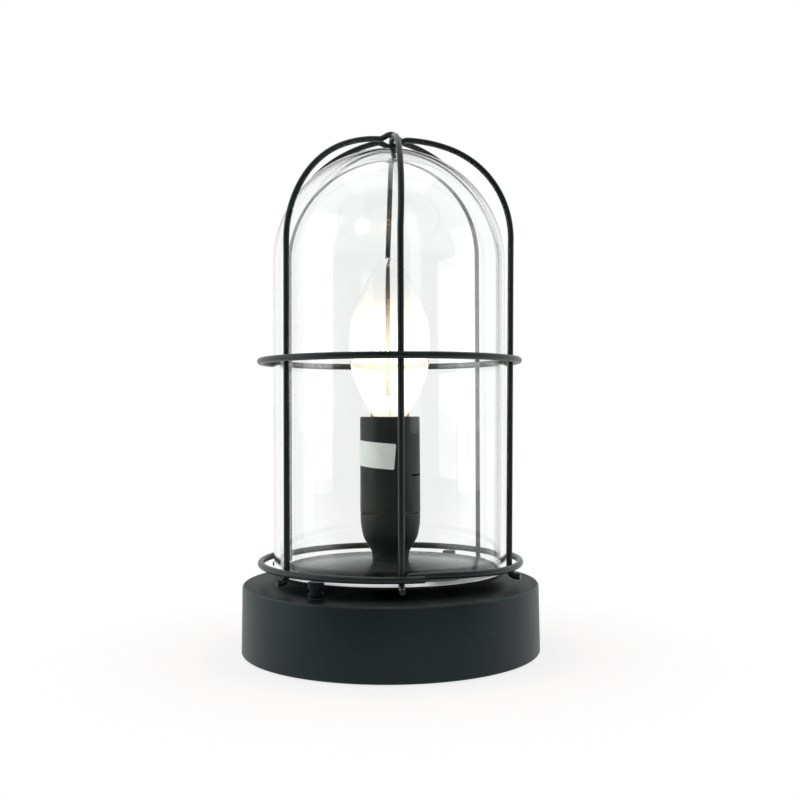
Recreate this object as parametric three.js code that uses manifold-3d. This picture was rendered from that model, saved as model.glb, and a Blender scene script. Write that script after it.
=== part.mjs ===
import * as THREE from 'three';
import { mergeVertices } from 'three/addons/utils/BufferGeometryUtils.js';
import Module from 'manifold-3d';

// Table lamp: a round weighted base, a clear glass bell on a spun tray, a wire cage round
// the bell, and an upright lamp holder with a candle bulb.
// Millimetres, +Z up. The front is -Y. Bearings are degrees from the front towards +X.

const wasm = await Module();
wasm.setup();

// Common values
const CLEAR = 0.3;
const OVERRUN = 2;
const FULL_TURN = 360;
const MERGE = 0.0005;
const BASE_SIDES = 64;
const GLASS_SIDES = 48;
const HOLDER_SIDES = 24;
const SMALL_SIDES = 16;
const WIRE_SIDES = 8;

// Base cover
const BASE_HEIGHT = 29.5;
const BASE_TOP_RADIUS = 63.35;
const BASE_TAPER = 0.45;
const COVER_WALL = 1.2;
const COVER_TOP_SHEET = 1.6;
const COVER_EDGE_RADIUS = 1.2;
const COVER_HEM_RADIUS = 0.8;
const COVER_FOOT_GAP = 0.6;

// Screw bosses inside the cover, and their screws
const BOSS_INSET = 5.6;
const BOSS_RADIUS = 3.2;
const BOSS_BEARINGS = [0, 120, 240];
const SCREW_RADIUS = 1.4;
const SCREW_LENGTH = 10;
const SCREW_HEAD_RADIUS = 2.8;
const SCREW_HEAD_HEIGHT = 1;

// Foot pad, bottom plate and ballast
const PAD_INSET = 13.35;
const PAD_HEIGHT = 1.5;
const PLATE_SHEET = 1.2;
const PLATE_EDGE_GAP = 0.8;
const BALLAST_HEIGHT = 9.5;
const BALLAST_BORE_RADIUS = 14;
const BALLAST_EDGE_GAP = 0.8;

// Cord inlet bush in the back of the cover
const INLET_DROP = 10.5;
const INLET_BORE_RADIUS = 3.25;
const INLET_NECK_WALL = 1.2;
const INLET_FLANGE_RADIUS = 6;
const INLET_OUTER_FLANGE = 0.9;
const INLET_INNER_FLANGE = 1.5;
const INLET_BEARING = 180;

// Threaded tube in the middle, with its washer, tag and nut
const NIPPLE_RADIUS = 5;
const NIPPLE_BORE_RADIUS = 3.5;
const NIPPLE_DROP = 11.5;
const NIPPLE_TOP_RISE = 10.7;
const WASHER_RADIUS = 12;
const WASHER_SHEET = 1.2;
const TAG_RADIUS = 8;
const TAG_SHEET = 0.8;
const TAG_TAIL_LENGTH = 9;
const TAG_TAIL_WIDTH = 4;
const TAG_BEARING = 270;
const NUT_RADIUS = 8.08;
const NUT_HEIGHT = 3;
const HEX_SIDES = 6;
const SPACER_RADIUS = 8;

// Glass bell
const GLASS_INSET = 13.35;
const GLASS_WALL = 2.5;
const GLASS_CROWN_WALL = 3.4;
const GLASS_RIM_RISE = 5;
const GLASS_SIDE_LENGTH = 131.3;
const GLASS_CROWN_FLAT = 0.4;
const GLASS_LIP_RADIUS = 0.8;
const GLASS_LIP_DRAW = 0.9;
const GLASS_LIP_RISE = 1.2;
const GLASS_CROWN_STEPS = 9;

// Spun tray that the bell stands on
const TRAY_SHEET = 1;
const TRAY_INSET = 1;
const TRAY_CENTRE_RISE = 4.8;
const TRAY_CENTRE_RADIUS = 9;
const TRAY_STEP_GAP = 0.6;
const TRAY_STEP_RISE = 1.5;
const TRAY_STEP_BEVEL = 0.6;

// Cage wires
const RING_WIRE_RADIUS = 1.4;
const HOOP_GLASS_GAP = 1.35;
const RING_MID_RISE = 85.9;
const RING_BASE_RISE = 8.7;
const LAP_OUTER_BEARING = 13.4;
const LAP_EASE_START_BEARING = 58;
const LAP_EASE_END_BEARING = 18;
const LAP_INNER_BEARING = 7.2;
const LAP_RISE = 0.8;
const RING_STEPS = 54;
const LAP_STEPS = 12;
const HOOP_WIRE_RADIUS = 1.25;
const HOOP_BEARINGS = [126, 4.5, 69.2];
const HOOP_SHOULDER_BEARINGS = [126, 4.5, 76.2];
const HOOP_BACK_BEARINGS = [307.5, 181.2, 247];
const HOOP_CROWN_SHIFT = 1.45;
const HOOP_SHOULDER_RISE = 7.7;
const HOOP_CROWN_REACH = 7.6;
const HOOP_CROWN_LIFT = 1.6;
const HOOP_SHOULDER_STEPS = 9;
const HOOP_CROWN_STEPS = 3;
const HOOP_FOOT_STEPS = 4;
const HOOP_TOE_REACH = 1.8;
const HOOP_FOOT_DROP = 1.3;
const HOOP_STACK_DROP = 0.2;
const CROSSING_REACH = 7;
const CROSSING_STEPS = 4;

// Cage bushes with their pins, and the grommets in the cover's top
const POST_DRAW = 0.55;
const POST_BEARINGS = [-31.8, 148.2];
const BUSH_RADIUS = 3.2;
const BUSH_FOOT_HEIGHT = 1.2;
const BUSH_NECK_RADIUS = 2.4;
const BUSH_HEAD_RADIUS = 3.25;
const BUSH_HEAD_HEIGHT = 2.8;
const BUSH_CHAMFER = 0.3;
const PIN_RADIUS = 1.5;
const PIN_DROP = 3.3;
const PIN_POINT = 0.5;
const GROMMET_RADIUS = 3;
const GROMMET_HEIGHT = 0.9;
const GROMMET_ROUND = 0.5;
const GROMMET_NECK_RADIUS = 2.6;
const GROMMET_LIP_RADIUS = 3.7;
const GROMMET_LIP_HEIGHT = 1.6;

// Lamp holder shells
const HOLDER_MOUTH_RISE = 5.4;
const HOLDER_TOP_RADIUS = 12.9;
const HOLDER_SEAM_RISE = 19.7;
const HOLDER_SEAM_RADIUS = 13;
const HOLDER_WALL = 1.6;
const HOLDER_MOUTH_ROUND = 0.5;
const CAP_HIP_RISE = 13.2;
const CAP_HIP_RADIUS = 12.55;
const CAP_WAIST_RISE = 6.2;
const CAP_WAIST_RADIUS = 9.96;
const CAP_NECK_RISE = 2.8;
const COLLAR_RADIUS = 8;
const CAP_FLOOR_RISE = 5.3;
const CAP_LEDGE_RISE = 10.1;
const LEDGE_WIDTH = 0.9;
const SLOT_RISE = 16;
const SLOT_GAP = 0.8;
const SLOT_START_BEARING = 46;
const SLOT_END_BEARING = 84;
const SLOT_DEPTH = 3;
const GRUB_RADIUS = 1.3;
const GRUB_BEARING = 180;
const GRUB_PROUD = 0.3;
const GRUB_LIFT = 0.4;

// Blank label on the holder
const LABEL_SHEET = 0.2;
const LABEL_HEIGHT = 10.8;
const LABEL_START_BEARING = -100;
const LABEL_END_BEARING = 7.6;
const LABEL_START_RISE = 21;
const LABEL_END_RISE = 19;
const LABEL_STEPS = 16;

// Inside of the holder
const BLOCK_RISE = 16.7;
const BLOCK_HEIGHT = 16;
const BLOCK_RECESS_RADIUS = 5.5;
const BLOCK_RECESS_DEPTH = 6;
const SHELL_BORE_RADIUS = 7.1;
const SHELL_WALL = 0.5;
const SHELL_DRAW = 1.3;
const SHELL_FLOOR_RADIUS = 5.8;
const TERMINAL_OFFSET = 6.5;
const TERMINAL_RADIUS = 1.2;
const TERMINAL_HEAD_RADIUS = 2.2;
const TERMINAL_HEAD_HEIGHT = 1.8;
const TERMINAL_DEPTH = 5;
const STRIP_SHEET = 0.6;
const STRIP_WIDTH = 3;
const CENTRE_STRIP_LENGTH = 7;
const SIDE_STRIP_HEIGHT = 9;
const SIDE_FOOT_SHARE = 0.6;

// Terminal block and leads inside the base
const TERMINAL_BLOCK_LENGTH = 22;
const TERMINAL_BLOCK_WIDTH = 12;
const TERMINAL_BLOCK_HEIGHT = 9;
const TERMINAL_BLOCK_X = -28;
const TERMINAL_BLOCK_PITCH = 4;
const LEAD_RADIUS = 0.8;
const LEAD_PORT_DEPTH = 3;
const LEAD_PAIR_OFFSET = 1.3;
const LEAD_SLACK = 6;
const LEAD_SWEEP = 5;
const LEAD_STEPS = 22;
const EARTH_STEPS = 12;

// Candle bulb
const BULB_LENGTH = 98;
const BULB_SEAT_DROP = 1.1;
const BULB_CONTACT_SHEET = 1.5;
const BULB_CONTACT_RADIUS = 2.2;
const BULB_GLASS_WALL = 0.6;
const BULB_NECK_DEPTH = 8.2;
const BULB_NECK_RADIUS = 6.1;
const BULB_RADIUS = 17.5;
const BULB_CAP_WALL = 0.4;
const BULB_CAP_LENGTH = 19.8;
const BULB_CAP_RISE = 5.5;
const BULB_CAP_TAPER = 1.6;
const BULB_INSULATOR_RADIUS = 4.4;
const BULB_STEM_RISE = 1;
const BULB_STEM_LENGTH = 21;
const BULB_STEM_RADIUS = 1.9;
const BULB_STEM_FLARE = 4;
const FILAMENT_WIRE_RADIUS = 0.2;
const SUPPORT_WIRE_RADIUS = 0.25;
const FILAMENT_RISE_OVER_STEM = 17;
const FILAMENT_RISE = 8;
const FILAMENT_SPAN = 6;
const FILAMENT_STEPS = 16;
const SUPPORT_LIFT = 1;
const LEAD_WIRE_SHARE = 0.4;
const BULB_WIDE_SHARE = 0.5;

// Finishes
const BLACK_PAINT = [0x171615, 0.5, 0.3];
const BLACK_PLASTIC = [0x161515, 0.55, 0];
const CLEAR_GLASS = [0xe8edec, 0.05, 0];
const BARE_STEEL = [0xa7a8aa, 0.35, 1];
const DARK_STEEL = [0x2a2724, 0.4, 0.8];
const BRASS = [0xb99a55, 0.3, 1];
const RUBBER = [0x1c1b1a, 0.85, 0];
const FELT = [0x232323, 0.95, 0];
const WHITE_PAPER = [0xf0efec, 0.6, 0];
const CREAM_CERAMIC = [0xe6dfcf, 0.6, 0];
const BROWN_LEAD = [0x6b3d1e, 0.6, 0];
const BLUE_LEAD = [0x2b5fa8, 0.6, 0];
const GREEN_LEAD = [0x6d9a2a, 0.6, 0];
const GLOWING_WIRE = [0xffb36a, 0.4, 0];

// Sizes that follow from the ones above
const inletHeight = BASE_HEIGHT - INLET_DROP;
const nippleBottom = BASE_HEIGHT - NIPPLE_DROP;
const pinBottom = BASE_HEIGHT - PIN_DROP;
const glassRimHeight = BASE_HEIGHT + GLASS_RIM_RISE;
const glassShoulderHeight = glassRimHeight + GLASS_SIDE_LENGTH;
const trayCentreHeight = glassRimHeight + TRAY_CENTRE_RISE;
const ringBaseHeight = BASE_HEIGHT + RING_BASE_RISE;
const ringMidHeight = ringBaseHeight + RING_MID_RISE;
const capNeckHeight = trayCentreHeight + CAP_NECK_RISE;
const capFloorHeight = trayCentreHeight + CAP_FLOOR_RISE;
const capWaistHeight = trayCentreHeight + CAP_WAIST_RISE;
const capLedgeStart = trayCentreHeight + CAP_LEDGE_RISE;
const nippleTop = trayCentreHeight + NIPPLE_TOP_RISE;
const capHipHeight = trayCentreHeight + CAP_HIP_RISE;
const blockBottom = trayCentreHeight + BLOCK_RISE;
const blockTop = blockBottom + BLOCK_HEIGHT;
const holderSeamHeight = trayCentreHeight + HOLDER_SEAM_RISE;
const slotHeight = holderSeamHeight + SLOT_RISE;
const labelStartHeight = holderSeamHeight + LABEL_START_RISE;
const labelEndHeight = holderSeamHeight + LABEL_END_RISE;
const baseFootRadius = BASE_TOP_RADIUS + BASE_TAPER;
const bossCircle = BASE_TOP_RADIUS - COVER_WALL - BOSS_INSET;
const padRadius = BASE_TOP_RADIUS - PAD_INSET;
const plateBottom = PAD_HEIGHT + CLEAR;
const plateTop = plateBottom + PLATE_SHEET;
const plateRadius = BASE_TOP_RADIUS - COVER_WALL - PLATE_EDGE_GAP;
const coverUnderside = BASE_HEIGHT - COVER_TOP_SHEET;
const ballastBottom = plateTop + CLEAR;
const ballastTop = ballastBottom + BALLAST_HEIGHT;
const ballastRadius = bossCircle - BOSS_RADIUS - BALLAST_EDGE_GAP;
const nippleHole = NIPPLE_RADIUS + CLEAR;
const washerTop = coverUnderside - CLEAR;
const washerBottom = washerTop - WASHER_SHEET;
const tagTop = washerBottom - CLEAR;
const tagBottom = tagTop - TAG_SHEET;
const nutTop = tagBottom - CLEAR;
const glassRadius = BASE_TOP_RADIUS - GLASS_INSET;
const glassCrownRise = glassRadius - GLASS_CROWN_FLAT;
const glassBore = glassRadius - GLASS_WALL;
const trayFlangeTop = glassRimHeight - CLEAR;
const trayFlangeBottom = trayFlangeTop - TRAY_SHEET;
const trayRadius = glassRadius - TRAY_INSET;
const trayStepRadius = glassBore - TRAY_STEP_GAP;
const trayCentreBottom = trayCentreHeight - TRAY_SHEET;
const collarBottom = trayCentreHeight + CLEAR;
const hoopRadius = glassRadius + HOOP_GLASS_GAP + HOOP_WIRE_RADIUS;
const ringRadius = hoopRadius + HOOP_WIRE_RADIUS + CLEAR + RING_WIRE_RADIUS;
const hoopShoulderHeight = glassShoulderHeight + HOOP_SHOULDER_RISE;
const hoopShoulderRadius = hoopRadius - HOOP_CROWN_REACH;
const hoopCrownHeight = hoopShoulderHeight + hoopShoulderRadius + HOOP_CROWN_LIFT;
const postCircle = ringRadius - POST_DRAW;
const hoopStagger = 2 * HOOP_WIRE_RADIUS + CLEAR;
const hoopFootReach = RING_WIRE_RADIUS + CLEAR + HOOP_WIRE_RADIUS;
const grommetBottom = BASE_HEIGHT + CLEAR;
const grommetTop = grommetBottom + GROMMET_HEIGHT;
const bushBottom = grommetTop + CLEAR;
const bushTop = ringBaseHeight - RING_WIRE_RADIUS - CLEAR;
const pinBore = PIN_RADIUS + CLEAR;
const sleeveBottom = holderSeamHeight + CLEAR;
const blockRadius = CAP_HIP_RADIUS - HOLDER_WALL - CLEAR;
const shellBottom = blockTop + CLEAR;
const bulbContactHeight = blockTop - BULB_SEAT_DROP;
const bulbCapBottom = bulbContactHeight + BULB_CAP_RISE;
const bulbCapTop = bulbCapBottom + BULB_CAP_LENGTH;
const shellTop = bulbCapTop - SHELL_DRAW;
const holderTopHeight = shellTop + HOLDER_MOUTH_RISE;
const bulbNeckBottom = bulbCapTop - BULB_NECK_DEPTH;
const bulbStemBottom = bulbNeckBottom + BULB_STEM_RISE;
const bulbStemTop = bulbStemBottom + BULB_STEM_LENGTH;
const filamentBottom = bulbStemTop + FILAMENT_RISE_OVER_STEM;
const bulbTipHeight = bulbContactHeight + BULB_LENGTH;
const shellRadius = SHELL_BORE_RADIUS + SHELL_WALL;
const recessFloor = blockTop - BLOCK_RECESS_DEPTH;
const terminalHeadTop = blockBottom - CLEAR;
const terminalHeadBottom = terminalHeadTop - TERMINAL_HEAD_HEIGHT;
const bulbCapRadius = SHELL_BORE_RADIUS - CLEAR;
const terminalBlockBottom = ballastTop + CLEAR;
const terminalBlockTop = terminalBlockBottom + TERMINAL_BLOCK_HEIGHT;

// Bulb glass outline above the neck, as shares of the widest radius and of the height
// from the neck's bottom to the tip
const bulbOutlineShares = [
  [0.434, 0.118],
  [0.49, 0.165],
  [0.66, 0.245],
  [0.85, 0.335],
  [0.965, 0.425],
  [1, 0.5],
  [0.983, 0.629],
  [0.909, 0.7],
  [0.771, 0.7725],
  [0.566, 0.87],
  [0.41, 0.932],
  [0.25, 0.977],
];

const rad = (degrees) => degrees * Math.PI / 180;

// Geometry of a turned piece: points are [radius, height] along a closed outline
function turnedGeometry(points, sides) {
  const outline = points.map(([r, z]) => new THREE.Vector2(r, z));
  const geometry = new THREE.LatheGeometry(outline, sides);
  geometry.rotateX(Math.PI / 2);
  return geometry;
}

// Solid from a closed geometry: welded, without collapsed triangles, faces outward
function solidOf(geometry) {
  const bare = geometry.clone();
  bare.deleteAttribute('normal');
  bare.deleteAttribute('uv');
  const welded = mergeVertices(bare, MERGE);
  const spots = welded.attributes.position;
  const source = welded.index.array;
  const corners = [];
  const a = new THREE.Vector3();
  const b = new THREE.Vector3();
  const c = new THREE.Vector3();
  let signedVolume = 0;
  for (let i = 0; i < source.length; i += 3) {
    const [p, q, r] = [source[i], source[i + 1], source[i + 2]];
    if (p === q || q === r || r === p) continue;
    a.fromBufferAttribute(spots, p);
    b.fromBufferAttribute(spots, q);
    c.fromBufferAttribute(spots, r);
    signedVolume += a.dot(b.cross(c));
    corners.push(p, q, r);
  }
  if (signedVolume < 0) corners.reverse();
  return new wasm.Manifold(new wasm.Mesh({
    numProp: 3,
    vertProperties: new Float32Array(spots.array),
    triVerts: new Uint32Array(corners),
  }));
}

function turned(points, sides = HOLDER_SIDES) {
  const closed = [...points, points[0]];
  return solidOf(turnedGeometry(closed, sides));
}

// Disc or ring between two heights
function ring(inner, outer, bottom, top, sides = HOLDER_SIDES) {
  if (inner === 0) {
    return solidOf(turnedGeometry([[0, bottom], [outer, bottom], [outer, top], [0, top]], sides));
  }
  return turned([[inner, bottom], [outer, bottom], [outer, top], [inner, top]], sides);
}

// Spot on a circle at a bearing
function spot(radius, bearing, height = 0) {
  const angle = rad(bearing);
  return new THREE.Vector3(radius * Math.sin(angle), -radius * Math.cos(angle), height);
}

function moved(geometry, place) {
  geometry.translate(place.x, place.y, place.z);
  return geometry;
}

// Upright turned piece whose own axis stands at a place
function turnedAt(points, place, sides = SMALL_SIDES) {
  return solidOf(moved(turnedGeometry(points, sides), place));
}

// Turned piece lying along a bearing: its heights become distances from the lamp's axis
function turnedOutward(points, bearing, height, sides = SMALL_SIDES) {
  const geometry = turnedGeometry(points, sides);
  geometry.rotateX(Math.PI / 2);
  geometry.rotateZ(rad(bearing));
  return solidOf(moved(geometry, new THREE.Vector3(0, 0, height)));
}

// Upright piece of a flat outline between two heights
function plate(outline, bottom, top) {
  const shape = new THREE.Shape(outline.map(([x, y]) => new THREE.Vector2(x, y)));
  const geometry = new THREE.ExtrudeGeometry(shape, { depth: top - bottom, bevelEnabled: false });
  return solidOf(moved(geometry, new THREE.Vector3(0, 0, bottom)));
}

function box(size, place) {
  return solidOf(moved(new THREE.BoxGeometry(size.x, size.y, size.z), place));
}

// Points of a quarter or other arc in the radius-height plane, ends included
function arc(centreR, centreZ, radius, from, to, steps) {
  const points = [];
  for (let i = 0; i <= steps; i += 1) {
    const angle = rad(from + (to - from) * i / steps);
    points.push([centreR + radius * Math.cos(angle), centreZ + radius * Math.sin(angle)]);
  }
  return points;
}

// A path whose stations are its own points, so a tube has one section at each of them
class StationPath extends THREE.Curve {
  constructor(points) {
    super();
    this.points = points;
  }

  getUtoTmapping(u) {
    return u;
  }

  getPoint(t) {
    const last = this.points.length - 1;
    const at = Math.min(Math.floor(t * last + MERGE), last - 1);
    return this.points[at].clone().lerp(this.points[at + 1], t * last - at);
  }

  getTangent(t) {
    const last = this.points.length - 1;
    const at = Math.round(t * last);
    const here = this.points[at];
    const tangent = new THREE.Vector3();
    if (at > 0) tangent.add(here.clone().sub(this.points[at - 1]).normalize());
    if (at < last) tangent.add(this.points[at + 1].clone().sub(here).normalize());
    return tangent.normalize();
  }
}

// Round wire along a list of points
function wire(points, radius, sides = WIRE_SIDES) {
  const section = new THREE.Shape();
  for (let i = 0; i < sides; i += 1) {
    const angle = 2 * Math.PI * i / sides;
    const place = [radius * Math.cos(angle), radius * Math.sin(angle)];
    if (i === 0) section.moveTo(...place);
    else section.lineTo(...place);
  }
  section.closePath();
  const settings = {
    steps: points.length - 1,
    extrudePath: new StationPath(points),
    bevelEnabled: false,
    curveSegments: 1,
  };
  return solidOf(new THREE.ExtrudeGeometry(section, settings));
}

const lamp = new THREE.Group();

// Adds one named piece to the lamp
function piece(name, solid, [color, roughness, metalness], opacity = 1) {
  const mesh = solid.getMesh();
  const geometry = new THREE.BufferGeometry();
  geometry.setAttribute('position', new THREE.BufferAttribute(mesh.vertProperties, 3));
  geometry.setIndex(new THREE.BufferAttribute(mesh.triVerts, 1));
  geometry.computeVertexNormals();
  const finish = { color, roughness, metalness, opacity, transparent: opacity < 1 };
  const part = new THREE.Mesh(geometry, new THREE.MeshStandardMaterial(finish));
  part.name = name;
  lamp.add(part);
}

// Base: cover with its bosses
const coverOutline = [
  [nippleHole, coverUnderside],
  [nippleHole, BASE_HEIGHT],
  ...arc(
    BASE_TOP_RADIUS - COVER_EDGE_RADIUS,
    BASE_HEIGHT - COVER_EDGE_RADIUS,
    COVER_EDGE_RADIUS,
    90,
    0,
    3,
  ),
  ...arc(
    baseFootRadius - COVER_HEM_RADIUS,
    COVER_FOOT_GAP + COVER_HEM_RADIUS,
    COVER_HEM_RADIUS,
    0,
    -90,
    2,
  ),
  [baseFootRadius - COVER_WALL, COVER_FOOT_GAP],
  [BASE_TOP_RADIUS - COVER_WALL, coverUnderside],
];
let cover = turned(coverOutline, BASE_SIDES);
for (const bearing of BOSS_BEARINGS) {
  const place = spot(bossCircle, bearing);
  const bottom = plateTop + CLEAR;
  const boreTop = bottom + SCREW_LENGTH;
  const bore = SCREW_RADIUS + CLEAR;
  const boss = [[0, bottom], [BOSS_RADIUS, bottom], [BOSS_RADIUS, coverUnderside + CLEAR]];
  const drilled = [[0, bottom - OVERRUN], [bore, bottom - OVERRUN], [bore, boreTop], [0, boreTop]];
  cover = cover.add(turnedAt([...boss, [0, coverUnderside + CLEAR]], place));
  cover = cover.subtract(turnedAt(drilled, place));
}
for (const bearing of POST_BEARINGS) {
  const hole = GROMMET_NECK_RADIUS + CLEAR;
  const bottom = coverUnderside - OVERRUN;
  const top = BASE_HEIGHT + OVERRUN;
  const cut = [[0, bottom], [hole, bottom], [hole, top], [0, top]];
  cover = cover.subtract(turnedAt(cut, spot(postCircle, bearing)));
}
const inletNeck = INLET_BORE_RADIUS + INLET_NECK_WALL;
const inletHole = inletNeck + CLEAR;
const inletInside = ballastRadius;
const inletOutside = baseFootRadius + OVERRUN;
cover = cover.subtract(turnedOutward(
  [[0, inletInside], [inletHole, inletInside], [inletHole, inletOutside], [0, inletOutside]],
  INLET_BEARING,
  inletHeight,
));
piece('base_shell', cover, BLACK_PAINT);

// Base: pad, plate, screws and ballast
piece('foot_pad', ring(0, padRadius, 0, PAD_HEIGHT, BASE_SIDES), FELT);
let bottomPlate = ring(0, plateRadius, plateBottom, plateTop, BASE_SIDES);
for (const bearing of BOSS_BEARINGS) {
  const hole = SCREW_RADIUS + CLEAR;
  const low = plateBottom - OVERRUN;
  const high = plateTop + OVERRUN;
  const cut = [[0, low], [hole, low], [hole, high], [0, high]];
  bottomPlate = bottomPlate.subtract(turnedAt(cut, spot(bossCircle, bearing)));
}
piece('bottom_plate', bottomPlate, DARK_STEEL);
BOSS_BEARINGS.forEach((bearing, i) => {
  const headTop = plateBottom - CLEAR;
  const headBottom = headTop - SCREW_HEAD_HEIGHT;
  const end = headTop + SCREW_LENGTH;
  const outline = [
    [0, headBottom],
    [SCREW_HEAD_RADIUS, headBottom],
    [SCREW_HEAD_RADIUS, headTop],
    [SCREW_RADIUS, headTop],
    [SCREW_RADIUS, end],
    [0, end],
  ];
  piece(`bottom_screw_${i + 1}`, turnedAt(outline, spot(bossCircle, bearing)), BARE_STEEL);
});
const ballast = ring(BALLAST_BORE_RADIUS, ballastRadius, ballastBottom, ballastTop, GLASS_SIDES);
piece('ballast', ballast, DARK_STEEL);

// Cord inlet bush: a turned bush lying along its bearing
const bushOutside = baseFootRadius + CLEAR;
const innerWall = BASE_TOP_RADIUS - COVER_WALL;
const flangeSag = innerWall - Math.hypot(innerWall, INLET_FLANGE_RADIUS);
const bushInside = innerWall + 2 * flangeSag - CLEAR;
const inletOutline = [
  [INLET_BORE_RADIUS, bushInside - INLET_INNER_FLANGE],
  [INLET_FLANGE_RADIUS, bushInside - INLET_INNER_FLANGE],
  [INLET_FLANGE_RADIUS, bushInside],
  [inletNeck, bushInside],
  [inletNeck, bushOutside],
  [INLET_FLANGE_RADIUS, bushOutside],
  [INLET_FLANGE_RADIUS, bushOutside + INLET_OUTER_FLANGE],
  [INLET_BORE_RADIUS, bushOutside + INLET_OUTER_FLANGE],
];
const inletClosed = [...inletOutline, inletOutline[0]];
const inletBush = turnedOutward(inletClosed, INLET_BEARING, inletHeight);
piece('cord_inlet_bush', inletBush, BLACK_PLASTIC);

// Centre stack
const nipple = ring(NIPPLE_BORE_RADIUS, NIPPLE_RADIUS, nippleBottom, nippleTop);
piece('nipple', nipple, BARE_STEEL);
piece('base_washer', ring(nippleHole, WASHER_RADIUS, washerBottom, washerTop), BARE_STEEL);
const tagTail = box(
  new THREE.Vector3(TAG_TAIL_LENGTH, TAG_TAIL_WIDTH, TAG_SHEET),
  spot(TAG_RADIUS + TAG_TAIL_LENGTH / 2 - CLEAR, TAG_BEARING, (tagTop + tagBottom) / 2),
);
piece('earth_tag', ring(nippleHole, TAG_RADIUS, tagBottom, tagTop).add(tagTail), BRASS);
const nut = ring(0, NUT_RADIUS, nutTop - NUT_HEIGHT, nutTop, HEX_SIDES);
const nutBore = ring(0, nippleHole, nutTop - NUT_HEIGHT - OVERRUN, nutTop + OVERRUN);
piece('base_nut', nut.subtract(nutBore), BARE_STEEL);
const spacer = ring(nippleHole, SPACER_RADIUS, BASE_HEIGHT + CLEAR, trayCentreBottom - CLEAR);
piece('spacer', spacer, BLACK_PAINT);

// Tray: a shallow dome with a step inside the bell's rim and a flange under it
const trayStepTop = trayFlangeTop + TRAY_STEP_RISE;
const trayStepInner = trayStepRadius - TRAY_SHEET;
const trayOutline = [
  [nippleHole, trayCentreBottom],
  [TRAY_CENTRE_RADIUS, trayCentreBottom],
  [trayStepInner, trayStepTop + TRAY_STEP_BEVEL - TRAY_SHEET],
  [trayStepInner, trayFlangeBottom],
  [trayRadius, trayFlangeBottom],
  [trayRadius, trayFlangeTop],
  [trayStepRadius, trayFlangeTop],
  [trayStepRadius, trayStepTop],
  [trayStepRadius - TRAY_STEP_BEVEL, trayStepTop + TRAY_STEP_BEVEL],
  [TRAY_CENTRE_RADIUS, trayCentreHeight],
  [nippleHole, trayCentreHeight],
];
piece('glass_tray', turned(trayOutline, GLASS_SIDES), BLACK_PAINT);

// Glass bell: straight sides, a round crown and a drawn-in rim
function crownPoints(radius, rise, from, to) {
  return arc(0, 0, 1, from, to, GLASS_CROWN_STEPS)
    .map(([share, lift]) => [radius * share, glassShoulderHeight + rise * lift]);
}
const outerCrown = crownPoints(glassRadius, glassCrownRise, 0, 90);
const innerCrown = crownPoints(glassBore, glassCrownRise - GLASS_CROWN_WALL, 90, 0);
outerCrown[GLASS_CROWN_STEPS][0] = 0;
innerCrown[0][0] = 0;
const glassOutline = [
  ...innerCrown,
  [glassBore, glassRimHeight + GLASS_LIP_RISE],
  [glassBore + GLASS_LIP_RADIUS, glassRimHeight],
  [glassRadius - GLASS_LIP_DRAW, glassRimHeight],
  [glassRadius, glassRimHeight + GLASS_LIP_RISE],
  ...outerCrown,
];
const bell = solidOf(turnedGeometry(glassOutline, GLASS_SIDES));
piece('glass_dome', bell, CLEAR_GLASS, 0.25);

// Cage rings: a closed ring half way up, and a bottom ring whose ends lap at the front
const midSection = arc(ringRadius, ringMidHeight, RING_WIRE_RADIUS, 0, FULL_TURN, WIRE_SIDES);
midSection.pop();
piece('cage_ring_mid', turned(midSection, BASE_SIDES), BLACK_PAINT);
const lapDraw = 2 * RING_WIRE_RADIUS + CLEAR;
const easeFrom = LAP_EASE_START_BEARING - FULL_TURN;
const easeTo = LAP_EASE_END_BEARING - FULL_TURN;
function lapSpot(bearing) {
  const raw = (bearing - easeFrom) / (easeTo - easeFrom);
  const share = Math.min(Math.max(raw, 0), 1);
  const eased = share * share * (3 - 2 * share);
  return spot(ringRadius - lapDraw * eased, bearing, ringBaseHeight + LAP_RISE * eased);
}
const ringPoints = [];
for (let i = 0; i <= RING_STEPS; i += 1) {
  const bearing = LAP_OUTER_BEARING + (easeFrom - LAP_OUTER_BEARING) * i / RING_STEPS;
  ringPoints.push(lapSpot(bearing));
}
for (let i = 1; i <= LAP_STEPS; i += 1) {
  ringPoints.push(lapSpot(easeFrom + (LAP_INNER_BEARING - LAP_EASE_START_BEARING) * i / LAP_STEPS));
}
piece('cage_ring_base', wire(ringPoints, RING_WIRE_RADIUS), BLACK_PAINT);

// Cage hoops: up one side, over the crown and down the other, with toes under the ring
const crownDrop = (HOOP_CROWN_REACH ** 2 - HOOP_CROWN_LIFT ** 2) / (2 * HOOP_CROWN_LIFT);
const crownRadius = hoopShoulderRadius + HOOP_CROWN_LIFT + crownDrop;
const crownCentre = hoopShoulderHeight - crownDrop;
const joinAngle = Math.atan2(crownDrop, HOOP_CROWN_REACH) * 180 / Math.PI;
const joinReach = crownRadius * Math.cos(rad(joinAngle));

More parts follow.
